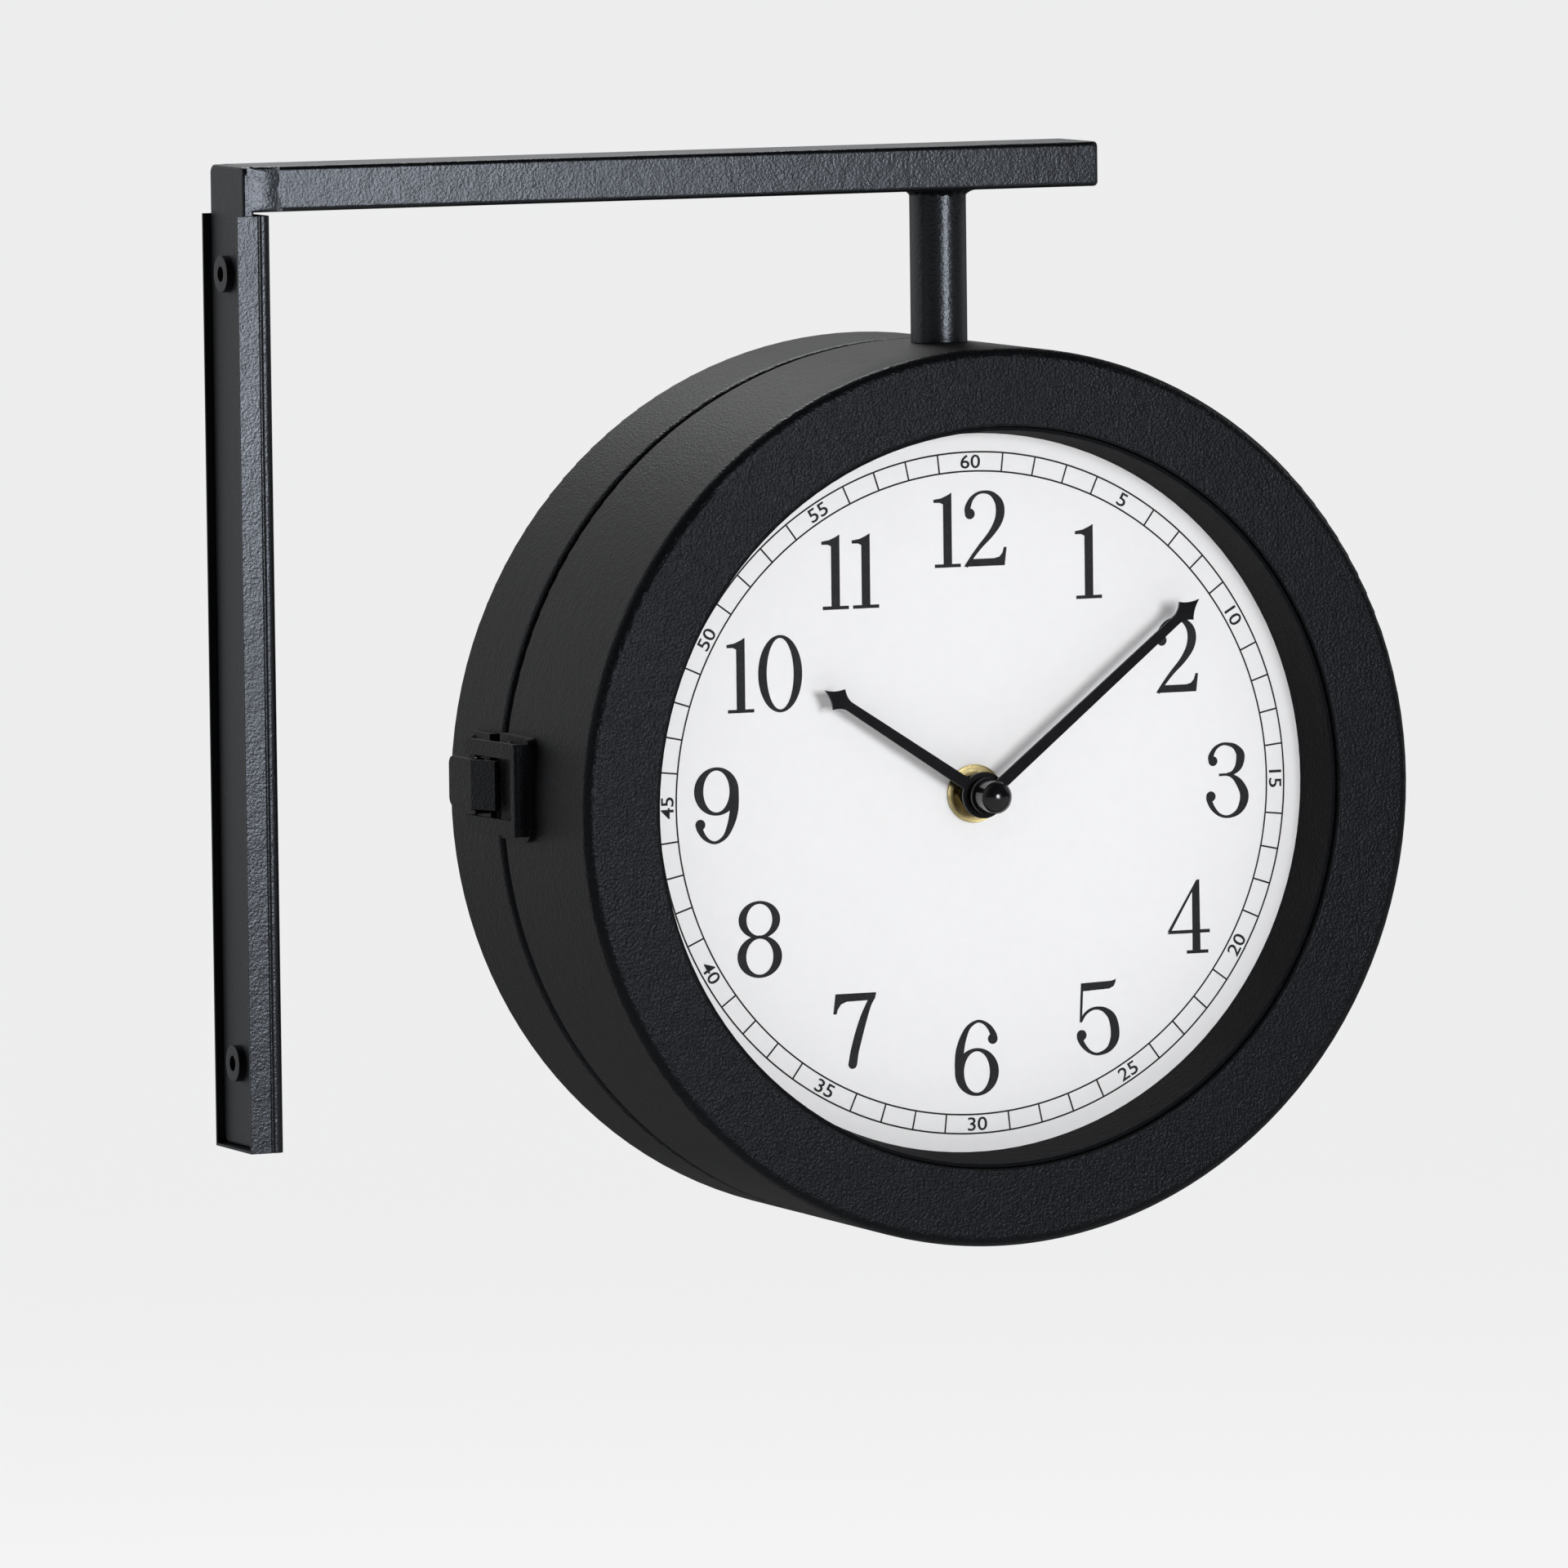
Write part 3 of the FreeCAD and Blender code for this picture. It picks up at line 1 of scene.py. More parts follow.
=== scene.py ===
"""Looks of a double sided station clock on a wall bracket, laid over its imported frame."""
import json
import math
import bpy
import numpy as np
from mathutils import Matrix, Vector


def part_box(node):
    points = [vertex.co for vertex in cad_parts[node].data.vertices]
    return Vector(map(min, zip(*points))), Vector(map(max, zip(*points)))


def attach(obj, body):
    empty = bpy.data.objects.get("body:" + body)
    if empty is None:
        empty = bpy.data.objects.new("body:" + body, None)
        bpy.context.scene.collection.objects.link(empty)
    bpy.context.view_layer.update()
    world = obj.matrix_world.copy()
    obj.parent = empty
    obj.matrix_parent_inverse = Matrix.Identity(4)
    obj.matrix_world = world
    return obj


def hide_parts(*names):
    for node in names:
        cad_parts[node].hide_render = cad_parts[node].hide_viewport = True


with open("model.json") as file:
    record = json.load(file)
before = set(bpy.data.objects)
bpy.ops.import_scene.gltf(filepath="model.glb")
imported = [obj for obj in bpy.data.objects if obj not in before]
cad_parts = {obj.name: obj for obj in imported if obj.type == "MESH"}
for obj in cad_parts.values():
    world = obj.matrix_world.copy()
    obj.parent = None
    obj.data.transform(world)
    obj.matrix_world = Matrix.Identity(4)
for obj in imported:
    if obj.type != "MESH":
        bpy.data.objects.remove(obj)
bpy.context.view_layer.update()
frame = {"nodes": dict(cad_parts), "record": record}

bl_info = {
    "name": "Station clock",
    "version": (1, 0, 0),
    "blender": (4, 5, 0),
    "location": "View3D > Sidebar > Clock",
    "description": "Prints, paints and lights a double sided station clock",
    "category": "Object",
}

SIDES = {"front": ("base", 0.0), "rear": ("door", math.pi)}


# ---------------------------------------------------------------- sizes and colours a user would change
def length(name, text, default):
    """A size in metres."""
    return bpy.props.FloatProperty(name=name, description=text, default=default, unit="LENGTH",
                                   subtype="DISTANCE", precision=5)


def power(name, text, default):
    """The power of a lamp in watts."""
    return bpy.props.FloatProperty(name=name, description=text, default=default, unit="POWER")


def colour(name, text, default):
    """A linear colour."""
    return bpy.props.FloatVectorProperty(name=name, description=text, default=default, size=3,
                                         subtype="COLOR", min=0, max=1)


class CLOCK_PG_print(bpy.types.PropertyGroup):
    figure_height: length("Figure height", "Height of the hour figures", 0.0250)
    track_inner: length("Track, inner line", "Radius of the minute track's inner line", 0.1078)
    track_outer: length("Track, outer line", "Radius of the minute track's outer line", 0.1142)
    line_width: length("Line width", "Width of the minute track's lines", 0.00058)
    label_height: length("Minute figure height", "Height of the small minute figures", 0.0046)
    ink_lift: length("Ink lift", "How far the print stands off the dial", 0.00004)
    ink_step: length("Ink step", "How much further each overlapping stroke stands off", 0.000004)


class CLOCK_PG_finish(bpy.types.PropertyGroup):
    powder: colour("Powder coat", "Colour of the case and the bracket", (0.0034, 0.0035, 0.0040))
    dial: colour("Dial", "Colour of the dial paint", (0.85, 0.835, 0.82))
    ink: colour("Ink", "Colour of the print", (0.010, 0.010, 0.011))
    hand: colour("Hands", "Colour of the hands", (0.003, 0.003, 0.0035))
    # Colour of the side faces of the hands and bosses: a painted highlight on their rims.
    edge: colour("Cut edges", "Colour of the sheared edges of the hands", (0.10, 0.10, 0.105))
    cap: colour("Hub cap", "Colour of the gloss cap", (0.004, 0.004, 0.0045))
    brass: colour("Brass", "Colour of the nut and washer", (0.40, 0.325, 0.155))
    grain: length("Powder grain", "Size of one grain of the powder coat", 0.0010)
    # This radius also sets how wide the painted highlight on the coat's sharp edges is.
    round_edge: length("Soft edge", "Radius by which the coat softens a sharp edge", 0.0004)


class CLOCK_PG_weld(bpy.types.PropertyGroup):
    mound: length("Mound height", "How far the ground weld stands off the arm's sides", 0.0004)
    reach: length("Mound reach", "Width of the ground weld along the arm", 0.0118)
    fillet: length("Fillet leg", "Leg of the fillet round the post", 0.0030)
    run_out: length("Run-out", "How much further the fillet spreads along the arm", 0.0032)
    ripple: length("Ripple pitch", "Distance between two ripples of a bead", 0.0032)


class CLOCK_PG_studio(bpy.types.PropertyGroup):
    floor_drop: length("Floor below the wall mount", "Distance from the origin down to the floor", 0.60)
    floor: colour("Floor", "Colour of the floor", (0.86, 0.86, 0.87))
    key: power("Front light", "Power of the soft box in front of the dial", 25.0)
    side: power("Side light", "Power of the light on the latch's side", 3.0)
    rear: power("Rear light", "Power of the light on the second dial", 30.0)
    hinge: power("Hinge light", "Power of the light on the hinge's side", 10.0)
    sky: bpy.props.FloatProperty(name="Room light", default=0.34, min=0,
                                 description="Strength of the light from all round")
    mirror: bpy.props.FloatProperty(name="Backdrop in gloss", default=0.90, min=0, max=1,
                                    description="How white the backdrop is in reflections")


# ---------------------------------------------------------------- meshes
def make_mesh(name, points, faces, body, material, smooth=False):
    """A finished piece with its place in its mesh, riding on a body of the frame."""
    mesh = bpy.data.meshes.new(name)
    mesh.from_pydata(np.asarray(points, float).tolist(), [], [list(map(int, f)) for f in faces])
    mesh.validate()
    mesh.polygons.foreach_set("use_smooth", np.full(len(mesh.polygons), smooth))
    mesh.materials.append(material)
    mesh.update()
    piece = bpy.data.objects.new(name, mesh)
    bpy.context.scene.collection.objects.link(piece)
    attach(piece, body)
    return piece


def grid_faces(rows, columns, close_rows=False):
    """Quads of a grid whose point (i, j) is number i * columns + j; the last row may join the first."""
    i = np.arange(rows if close_rows else rows - 1)
    i, j = np.meshgrid(i, np.arange(columns - 1), indexing="ij")
    k = (i + 1) % rows
    corners = [i * columns + j, i * columns + j + 1, k * columns + j + 1, k * columns + j]
    return np.stack(corners, -1).reshape(-1, 4)


def smooth_path(knots, per_span=12):
    """Catmull-Rom curve through the knots: a span blends its four nearest knots by cubic weights."""
    knots = np.asarray(knots, float)
    padded = np.vstack([2 * knots[0] - knots[1], knots, 2 * knots[-1] - knots[-2]])
    t = np.linspace(0, 1, per_span, endpoint=False)[:, None]
    spans = []
    for a, b, c, d in zip(padded, padded[1:], padded[2:], padded[3:]):
        spans.append(0.5 * (2 * b + (c - a) * t + (2 * a - 5 * b + 4 * c - d) * t ** 2
                            + (3 * b - a - 3 * c + d) * t ** 3))
    return np.vstack(spans + [knots[-1:]])


# ---------------------------------------------------------------- figures of the dial
# Points round a ring of a figure, a ball end and a line of the minute track.
RING_POINTS, DISC_POINTS, TRACK_POINTS = 96, 40, 360


# Each figure is drawn in a box one unit tall whose middle is x = 0 and whose foot is y = 0.
# A stroke is a list of (x, y, width); a disc is (x, y, radius); a plate is an outline.
def ribbon(knots):
    """A stroke of varying width: its edges are the path plus and minus half the width on the normal."""
    path = smooth_path(knots)
    along = np.gradient(path[:, :2], axis=0)
    along /= np.linalg.norm(along, axis=1)[:, None]
    normal = np.stack([-along[:, 1], along[:, 0]], 1) * path[:, 2:] / 2
    points = np.stack([path[:, :2] + normal, path[:, :2] - normal], 1).reshape(-1, 2)
    return points, grid_faces(len(path), 2)


def ring(x, y, outer, inner):
    """The band between two ellipses with one centre, each given by its half width and half height."""
    turn = np.linspace(0, 2 * math.pi, RING_POINTS, endpoint=False)
    way = np.stack([np.cos(turn), np.sin(turn)], 1)
    points = np.stack([way * outer, way * inner], 1).reshape(-1, 2) + (x, y)
    return points, grid_faces(RING_POINTS, 2, close_rows=True)


def disc(x, y, radius):
    """A ball end: points at one distance from (x, y)."""
    turn = np.linspace(0, 2 * math.pi, DISC_POINTS, endpoint=False)
    points = np.stack([x + radius * np.cos(turn), y + radius * np.sin(turn)], 1)
    return points, [range(DISC_POINTS)]


def plate(*corners):
    """A flat outline with straight sides."""
    return np.array(corners, float), [range(len(corners))]


def turned(parts):
    """The same parts turned half a turn about the middle of the box."""
    return [(np.array([0, 1]) - points, faces) for points, faces in parts]


def figure_parts():
    """The ten figures in an upright style with thick stems, hairlines and ball ends."""
    stem = 0.062
    one = [plate((-stem, 0.02), (stem, 0.02), (stem, 1.0), (-stem, 0.86)),
           plate((-0.19, 0), (0.19, 0), (0.19, 0.046), (-0.19, 0.046)),
           plate((stem, 1.0), (0.0, 0.965), (-0.09, 0.928), (-0.2, 0.912), (-0.2, 0.87),
                 (-0.11, 0.868), (-stem, 0.845), (-stem, 0.7), (stem, 0.7))]
    two = [disc(-0.222, 0.705, 0.072),
           ribbon([(-0.262, 0.715, 0.07), (-0.252, 0.79, 0.085), (-0.2, 0.9, 0.06), (-0.11, 0.972, 0.04),
                   (0.0, 0.99, 0.042), (0.11, 0.955, 0.07), (0.2, 0.85, 0.115), (0.222, 0.72, 0.128),
                   (0.185, 0.58, 0.115), (0.08, 0.425, 0.085), (-0.07, 0.27, 0.062), (-0.19, 0.13, 0.052),
                   (-0.285, 0.0, 0.05)]),
           plate((-0.315, 0), (0.28, 0), (0.31, 0.245), (0.27, 0.245), (0.245, 0.165), (0.2, 0.118),
                 (0.13, 0.1), (-0.23, 0.1))]
    three = [disc(-0.207, 0.765, 0.066),
             ribbon([(-0.245, 0.77, 0.06), (-0.238, 0.83, 0.075), (-0.18, 0.93, 0.055),
                     (-0.09, 0.985, 0.04), (0.0, 0.99, 0.042), (0.11, 0.955, 0.07), (0.188, 0.87, 0.115),
                     (0.2, 0.79, 0.125), (0.17, 0.68, 0.105), (0.09, 0.6, 0.06), (0.0, 0.578, 0.04)]),
             ribbon([(-0.12, 0.575, 0.036), (0.0, 0.575, 0.036), (0.09, 0.545, 0.06), (0.18, 0.46, 0.105),
                     (0.25, 0.32, 0.128), (0.235, 0.18, 0.12), (0.15, 0.06, 0.075), (0.01, 0.008, 0.04),
                     (-0.12, 0.04, 0.045), (-0.22, 0.14, 0.07), (-0.268, 0.245, 0.08),
                     (-0.275, 0.29, 0.07)]),
             disc(-0.242, 0.29, 0.07)]
    four = [plate((0.056, 0.03), (0.175, 0.03), (0.165, 1.0), (0.12, 0.985), (0.056, 0.84)),
            plate((-0.03, 0), (0.29, 0), (0.29, 0.046), (-0.03, 0.046)),
            plate((-0.315, 0.275), (0.315, 0.275), (0.315, 0.322), (-0.265, 0.322)),
            plate((-0.315, 0.3), (-0.262, 0.3), (0.06, 0.84), (0.165, 1.0), (0.118, 0.99))]
    five = [plate((-0.245, 0.97), (-0.25, 0.86), (0.17, 0.88), (0.235, 0.91), (0.262, 0.96),
                  (0.27, 1.015), (0.255, 1.0), (0.2, 0.985)),
            plate((-0.27, 0.44), (-0.235, 0.45), (-0.212, 0.9), (-0.245, 0.97)),
            ribbon([(-0.255, 0.45, 0.04), (-0.19, 0.55, 0.04), (-0.1, 0.61, 0.04), (0.0, 0.625, 0.044),
                    (0.11, 0.59, 0.075), (0.21, 0.49, 0.115), (0.25, 0.32, 0.128), (0.235, 0.18, 0.12),
                    (0.15, 0.06, 0.075), (0.0, 0.006, 0.04), (-0.12, 0.04, 0.045), (-0.215, 0.13, 0.07),
                    (-0.268, 0.225, 0.08), (-0.275, 0.27, 0.07)]),
            disc(-0.242, 0.27, 0.072)]
    six = [ring(0.0, 0.308, (0.322, 0.322), (0.188, 0.278)),
           ribbon([(-0.255, 0.308, 0.134), (-0.258, 0.45, 0.13), (-0.245, 0.6, 0.122), (-0.2, 0.76, 0.1),
                   (-0.12, 0.91, 0.065), (0.0, 0.985, 0.042), (0.1, 0.972, 0.045), (0.19, 0.9, 0.07),
                   (0.248, 0.8, 0.09), (0.262, 0.75, 0.08)]),
           disc(0.237, 0.745, 0.072)]
    seven = [plate((-0.28, 1.0), (-0.315, 0.73), (-0.265, 0.73), (-0.25, 0.79), (-0.2, 0.86),
                   (-0.12, 0.892), (0.26, 0.9), (0.31, 0.965), (0.31, 1.0)),
             ribbon([(0.27, 0.96, 0.08), (0.2, 0.84, 0.08), (0.125, 0.66, 0.105), (0.055, 0.45, 0.118),
                     (-0.01, 0.22, 0.122), (-0.04, 0.055, 0.126)]),
             disc(-0.042, 0.052, 0.063)]
    eight = [ring(0.0, 0.762, (0.300, 0.252), (0.185, 0.212)),
             ring(0.0, 0.27, (0.322, 0.284), (0.195, 0.24))]
    zero = [ring(0.0, 0.5, (0.318, 0.515), (0.194, 0.475))]
    return [zero, one, two, three, four, five, six, seven, eight, turned(six)]


FIGURE_WIDTH = [0.70, 0.44, 0.66, 0.66, 0.68, 0.66, 0.68, 0.66, 0.68, 0.68]
LABEL_WIDEN = 1.2     # how much wider the minute figures are than the built-in letter's
LABEL_WEIGHT = 0.010  # how much bolder, in the letter's own size


def write_number(value, height):
    """All parts of an upright number, scaled to its height and centred on (0, 0)."""
    figures = figure_parts()
    digits = [int(c) for c in str(value)]
    widths = [FIGURE_WIDTH[d] for d in digits]
    left = -sum(widths) / 2
    parts = []
    for digit, width in zip(digits, widths):
        shift = (left + width / 2, -0.5)
        parts += [((points + shift) * height, faces) for points, faces in figures[digit]]
        left += width
    return parts


def small_number(value, height):
    """A minute figure in the plain built-in letter, made a mesh, widened and centred on (0, 0)."""
    curve = bpy.data.curves.new("minute_figure", "FONT")
    curve.body = str(value)
    curve.resolution_u = 4
    curve.offset = LABEL_WEIGHT
    carrier = bpy.data.objects.new("minute_figure", curve)
    bpy.context.scene.collection.objects.link(carrier)
    bpy.context.view_layer.update()
    mesh = bpy.data.meshes.new_from_object(carrier)
    points = np.empty(len(mesh.vertices) * 3)
    mesh.vertices.foreach_get("co", points)
    points = points.reshape(-1, 3)[:, :2]
    faces = [list(p.vertices) for p in mesh.polygons]
    bpy.data.objects.remove(carrier)
    bpy.data.curves.remove(curve)
    bpy.data.meshes.remove(mesh)
    low, high = points.min(0), points.max(0)
    return (points - (low + high) / 2) * (LABEL_WIDEN, 1) * height / (high[1] - low[1]), faces


def minute_track(inner, outer, width):
    """Two thin circles and the lines between them at every minute that has no figure."""
    parts = []
    turn = np.linspace(0, 2 * math.pi, TRACK_POINTS, endpoint=False)
    way = np.stack([np.sin(turn), np.cos(turn)], 1)
    for radius in (inner, outer):
        points = np.stack([way * (radius + width / 2), way * (radius - width / 2)], 1).reshape(-1, 2)
        parts.append((points, grid_faces(TRACK_POINTS, 2, close_rows=True)))
    for minute in range(60):
        if minute % 5:
            angle = math.radians(6 * minute)
            out = np.array([math.sin(angle), math.cos(angle)])
            side = np.array([out[1], -out[0]]) * width / 2
            parts.append(plate(out * inner - side, out * outer - side,
                               out * outer + side, out * inner + side))
    return parts


# Middle of each hour figure, across and up from the arbor, in millimetres.
FIGURE_PLACES = {1: (43.0, 76.0), 2: (75.1, 43.2), 3: (93.2, 0.2), 4: (78.4, -45.2), 5: (44.6, -77.5),
                 6: (0.0, -88.8), 7: (-44.2, -77.4), 8: (-78.4, -45.2), 9: (-93.3, 0.0),
                 10: (-75.3, 43.0), 11: (-43.9, 76.0), 12: (-0.3, 88.4)}
STROKE_LEVELS = 12    # lifts that overlapping strokes take in turn


def dial_parts(sizes):
    """Everything printed on a dial, in the dial's own plane seen from the front."""
    parts = minute_track(sizes.track_inner, sizes.track_outer, sizes.line_width)
    middle = (sizes.track_inner + sizes.track_outer) / 2
    for hour in range(1, 13):
        angle = math.radians(30 * hour)
        place = np.array(FIGURE_PLACES[hour]) / 1000
        parts += [(points + place, faces)
                  for points, faces in write_number(hour, sizes.figure_height)]
        points, faces = small_number(5 * hour, sizes.label_height)
        lean = angle + math.pi if 90 < 30 * hour < 270 else angle
        across, up = (math.cos(lean), -math.sin(lean)), (math.sin(lean), math.cos(lean))
        points = points[:, :1] * across + points[:, 1:] * up
        parts.append((points + (middle * math.sin(angle), middle * math.cos(angle)), faces))
    return parts


def on_dial(points, side, lift):
    """Puts flat points on a dial: the first faces -Y and the second is turned half round about Z."""
    low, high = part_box(side + "_dial")
    middle_x, middle_z = (low[0] + high[0]) / 2, (low[2] + high[2]) / 2
    turn = SIDES[side][1]
    face_y = low[1] - lift if turn == 0 else high[1] + lift
    across = points[:, 0] * math.cos(turn)
    return np.stack([middle_x + across, np.full(len(points), face_y), middle_z + points[:, 1]], 1)


class CLOCK_OT_print(bpy.types.Operator):
    """Print the hour figures and the minute track on both dials"""
    bl_idname = "clock.print_dials"
    bl_label = "Print the dials"

    def execute(self, context):
        sizes = context.scene.clock_print
        parts = dial_parts(sizes)
        for side, (body, turn) in SIDES.items():
            points, faces, count = [], [], 0
            for i, (spots, loops) in enumerate(parts):
                points.append(on_dial(spots, side, sizes.ink_lift + i % STROKE_LEVELS * sizes.ink_step))
                faces += [[count + k for k in loop] for loop in loops]
                count += len(spots)
            piece = make_mesh(side + "_dial_print", np.vstack(points), faces, body, ink())
            face_outwards(piece, -1 if turn == 0 else 1)
        return {"FINISHED"}


def face_outwards(piece, way):
    """Turns over every face whose normal doesn't point along way * Y."""
    mesh = piece.data
    for polygon in mesh.polygons:
        if polygon.normal.y * way < 0:
            polygon.flip()
    mesh.update()


# ---------------------------------------------------------------- welds
MOUND_POINTS = (33, 61)      # points of a mound across and up
MOUND_START = 0.0024         # how far a mound laps over the upright
MOUND_INSET = 0.0003         # how far its ends stay inside the arm's edges
MOUND_SINK = 0.00003         # how deep its rim is sunk
FILLET_POINTS = (192, 11)    # points of the fillet round and down
PLAIN_LEG = 0.0030           # leg of the plain ring that the fillet stands for
FILLET_SINK = 0.0001         # how deep its inner edge is sunk


def lumps(s, seed, sizes=(0.0012, 0.0025, 0.0045)):
    """A slow random wave along s from -1 to 1: the mean of one sine a size, with seeded phases."""
    phases = np.random.default_rng(seed).uniform(0, 2 * math.pi, len(sizes))
    return sum(np.sin(s / size + phase) for size, phase in zip(sizes, phases)) / len(sizes)


def mound(arm_low, arm_high, side, sizes):
    """A ground weld over the joint of the arm's side and the upright: a low closed mound.

    With u across and v up, both from -1 to 1, its height is h * (1 - u^2)^1.5 * (1 - |v|^8)^0.5,
    swollen by slow lumps. Its far edge wanders by 0.2 lumps, and its rim is sunk a little.
    """
    u = np.linspace(-1, 1, MOUND_POINTS[0])[:, None]
    v = np.linspace(-1, 1, MOUND_POINTS[1])[None]
    middle = arm_low[0] - MOUND_START + sizes.reach / 2
    tall = (arm_high[2] - arm_low[2]) / 2
    centre = (arm_high[2] + arm_low[2]) / 2
    wobble = 0.2 * np.maximum(u, 0) * lumps(v * tall, 5)
    x = middle + (u + wobble) * sizes.reach / 2
    z = centre + v * (tall - MOUND_INSET) + 0 * u
    rise = (1 - u ** 2) ** 1.5 * (1 - np.abs(v) ** 8) ** 0.5
    rise = rise * (1 + 0.2 * lumps(v * tall + 0.3 * u * sizes.reach, 7)) * sizes.mound - MOUND_SINK
    y = side * (arm_high[1] + rise)
    points = np.stack([x, y, z], -1).reshape(-1, 3)
    faces = grid_faces(*MOUND_POINTS)
    return points, faces if side < 0 else faces[:, ::-1]


def post_fillet(low, high, sizes):
    """Weld round the head of the post: a hollow fillet whose legs change with the angle.

    At angle a the leg down the post is d = f * (0.80 + 0.16 lumps) and the leg along the arm is
    w = f * (0.95 + 0.12 lumps) + r * max(cos a, 0)^2 + 0.4 r * max(-cos a, 0)^6.
    The profile between them is a quarter ellipse, with a fine ripple for each bead.
    """
    centre = (low + high) / 2
    radius = (high[0] - low[0]) / 2 - PLAIN_LEG
    turn = np.linspace(0, 2 * math.pi, FILLET_POINTS[0], endpoint=False)[:, None]
    part = np.linspace(0, math.pi / 2, FILLET_POINTS[1])[None]
    wave = lumps(turn * radius, 11) * np.ones_like(part)
    beads = np.sin(turn * radius * 2 * math.pi / sizes.ripple)
    down = sizes.fillet * (0.80 + 0.16 * wave)
    wide = (sizes.fillet * (0.95 + 0.12 * wave) + sizes.run_out * np.maximum(np.cos(turn), 0) ** 2
            + 0.4 * sizes.run_out * np.maximum(-np.cos(turn), 0) ** 6)
    skin = 0.00012 * beads * np.sin(2 * part)
    reach = radius - FILLET_SINK + wide * (1 - np.cos(part)) + skin
    drop = down * (1 - np.sin(part)) + skin
    x, y = centre[0] + reach * np.cos(turn), centre[1] + reach * np.sin(turn)
    return np.stack([x, y, high[2] - drop], -1)


class CLOCK_OT_weld(bpy.types.Operator):
    """Lay the ground welds on the arm's sides and the fillet round the post"""
    bl_idname = "clock.lay_welds"
    bl_label = "Lay the welds"

    def execute(self, context):
        sizes = context.scene.clock_weld
        low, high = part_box("bracket_arm")
        for name, side in (("arm_weld_near", -1), ("arm_weld_far", 1)):
            points, faces = mound(low, high, side, sizes)
            make_mesh(name, points, faces, "base", bracket_powder(), smooth=True)
        low, high = (np.array(corner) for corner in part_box("post_weld"))
        points = post_fillet(low, high, sizes)
        faces = grid_faces(*FILLET_POINTS, close_rows=True)
        piece = make_mesh("post_weld_fillet", points.reshape(-1, 3), faces, "base", powder(),
                          smooth=True)
        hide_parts("post_weld")
        return {"FINISHED"}


# ---------------------------------------------------------------- finishes
GLANCE_ROUGH = 0.7               # roughness of the powder coat where it is seen at a glancing angle
COAT_TINT = (0.84, 0.90, 1.0)    # the faint blue of the coat's sheen
PLUS_BAND = 0.013                # width of the coloured band of a cell
BAND_EDGE = 0.0002               # how soft the edge of that band is


def new_material(name):
    """An empty node material with its output and one Principled shader."""
    made = bpy.data.materials.get(name)
    if made:
        return made, None, None
    made = bpy.data.materials.new(name)
    made.use_nodes = True
    tree = made.node_tree
    tree.nodes.clear()
    shader = tree.nodes.new("ShaderNodeBsdfPrincipled")
    output = tree.nodes.new("ShaderNodeOutputMaterial")
    tree.links.new(shader.outputs["BSDF"], output.inputs["Surface"])
    return made, tree, shader


def place_node(tree):
    """Place on the object, in metres."""
    coordinates = tree.nodes.new("ShaderNodeTexCoord")
    return coordinates.outputs["Object"]


def noise(tree, where, scale, detail=3.0, rough=0.55):
    """Cloudy noise with so many spots to the metre."""
    node = tree.nodes.new("ShaderNodeTexNoise")
    node.inputs["Scale"].default_value = scale
    node.inputs["Detail"].default_value = detail
    node.inputs["Roughness"].default_value = rough
    tree.links.new(where, node.inputs["Vector"])
    return node.outputs["Fac"]


def span(tree, value, low, high, start=0.3, end=0.7):
    """A value from start to end, spread from low to high and held there."""
    node = tree.nodes.new("ShaderNodeMapRange")
    for socket, number in (("From Min", start), ("From Max", end), ("To Min", low), ("To Max", high)):
        node.inputs[socket].default_value = number
    tree.links.new(value, node.inputs["Value"])
    return node.outputs["Result"]


def tint(tree, value, dark, light):
    """A colour between dark and light."""
    node = tree.nodes.new("ShaderNodeMix")
    node.data_type = "RGBA"
    node.inputs["A"].default_value = (*dark, 1)
    node.inputs["B"].default_value = (*light, 1)
    tree.links.new(value, node.inputs["Factor"])
    return node.outputs["Result"]


def blend(tree, share, below, above):
    """The colour below, giving way to a plain colour where share is 1."""
    node = tree.nodes.new("ShaderNodeMix")
    node.data_type = "RGBA"
    node.inputs["B"].default_value = (*above, 1)
    tree.links.new(below, node.inputs["A"])
    tree.links.new(share, node.inputs["Factor"])
    return node.outputs["Result"]


def relief(tree, shader, value, depth, strength=1.0, base=None):
    """Bumps of a depth in metres, laid over the base normal if there is one."""
    node = tree.nodes.new("ShaderNodeBump")
    node.inputs["Strength"].default_value = strength
    node.inputs["Distance"].default_value = depth
    tree.links.new(value, node.inputs["Height"])
    if base is not None:
        tree.links.new(base, node.inputs["Normal"])
    tree.links.new(node.outputs["Normal"], shader.inputs["Normal"])
    return node.outputs["Normal"]


def scaled(rgb, factor):
    """A colour made darker or lighter."""
    return tuple(min(1.0, c * factor) for c in rgb)


def speckle(tree, where, scale, dark, light, detail=3.0):
    """A fine mottle between two colours."""
    return tint(tree, span(tree, noise(tree, where, scale, detail), 0, 1), dark, light)


def mottle_roughness(tree, shader, where, scale, low, high):
    """Roughness that drifts between two values."""
    tree.links.new(span(tree, noise(tree, where, scale), low, high), shader.inputs["Roughness"])


def soft_edges(tree, radius, strength):
    """Normal of the surface with its sharp edges rounded, and how far it leans there, from 0 to 1."""
    bevel = tree.nodes.new("ShaderNodeBevel")
    bevel.samples = 6
    bevel.inputs["Radius"].default_value = radius
    surface = tree.nodes.new("ShaderNodeNewGeometry")
    dot = tree.nodes.new("ShaderNodeVectorMath")
    dot.operation = "DOT_PRODUCT"
    tree.links.new(bevel.outputs["Normal"], dot.inputs[0])
    tree.links.new(surface.outputs["Normal"], dot.inputs[1])
    return bevel.outputs["Normal"], span(tree, dot.outputs["Value"], strength, 0, 0.80, 0.995)


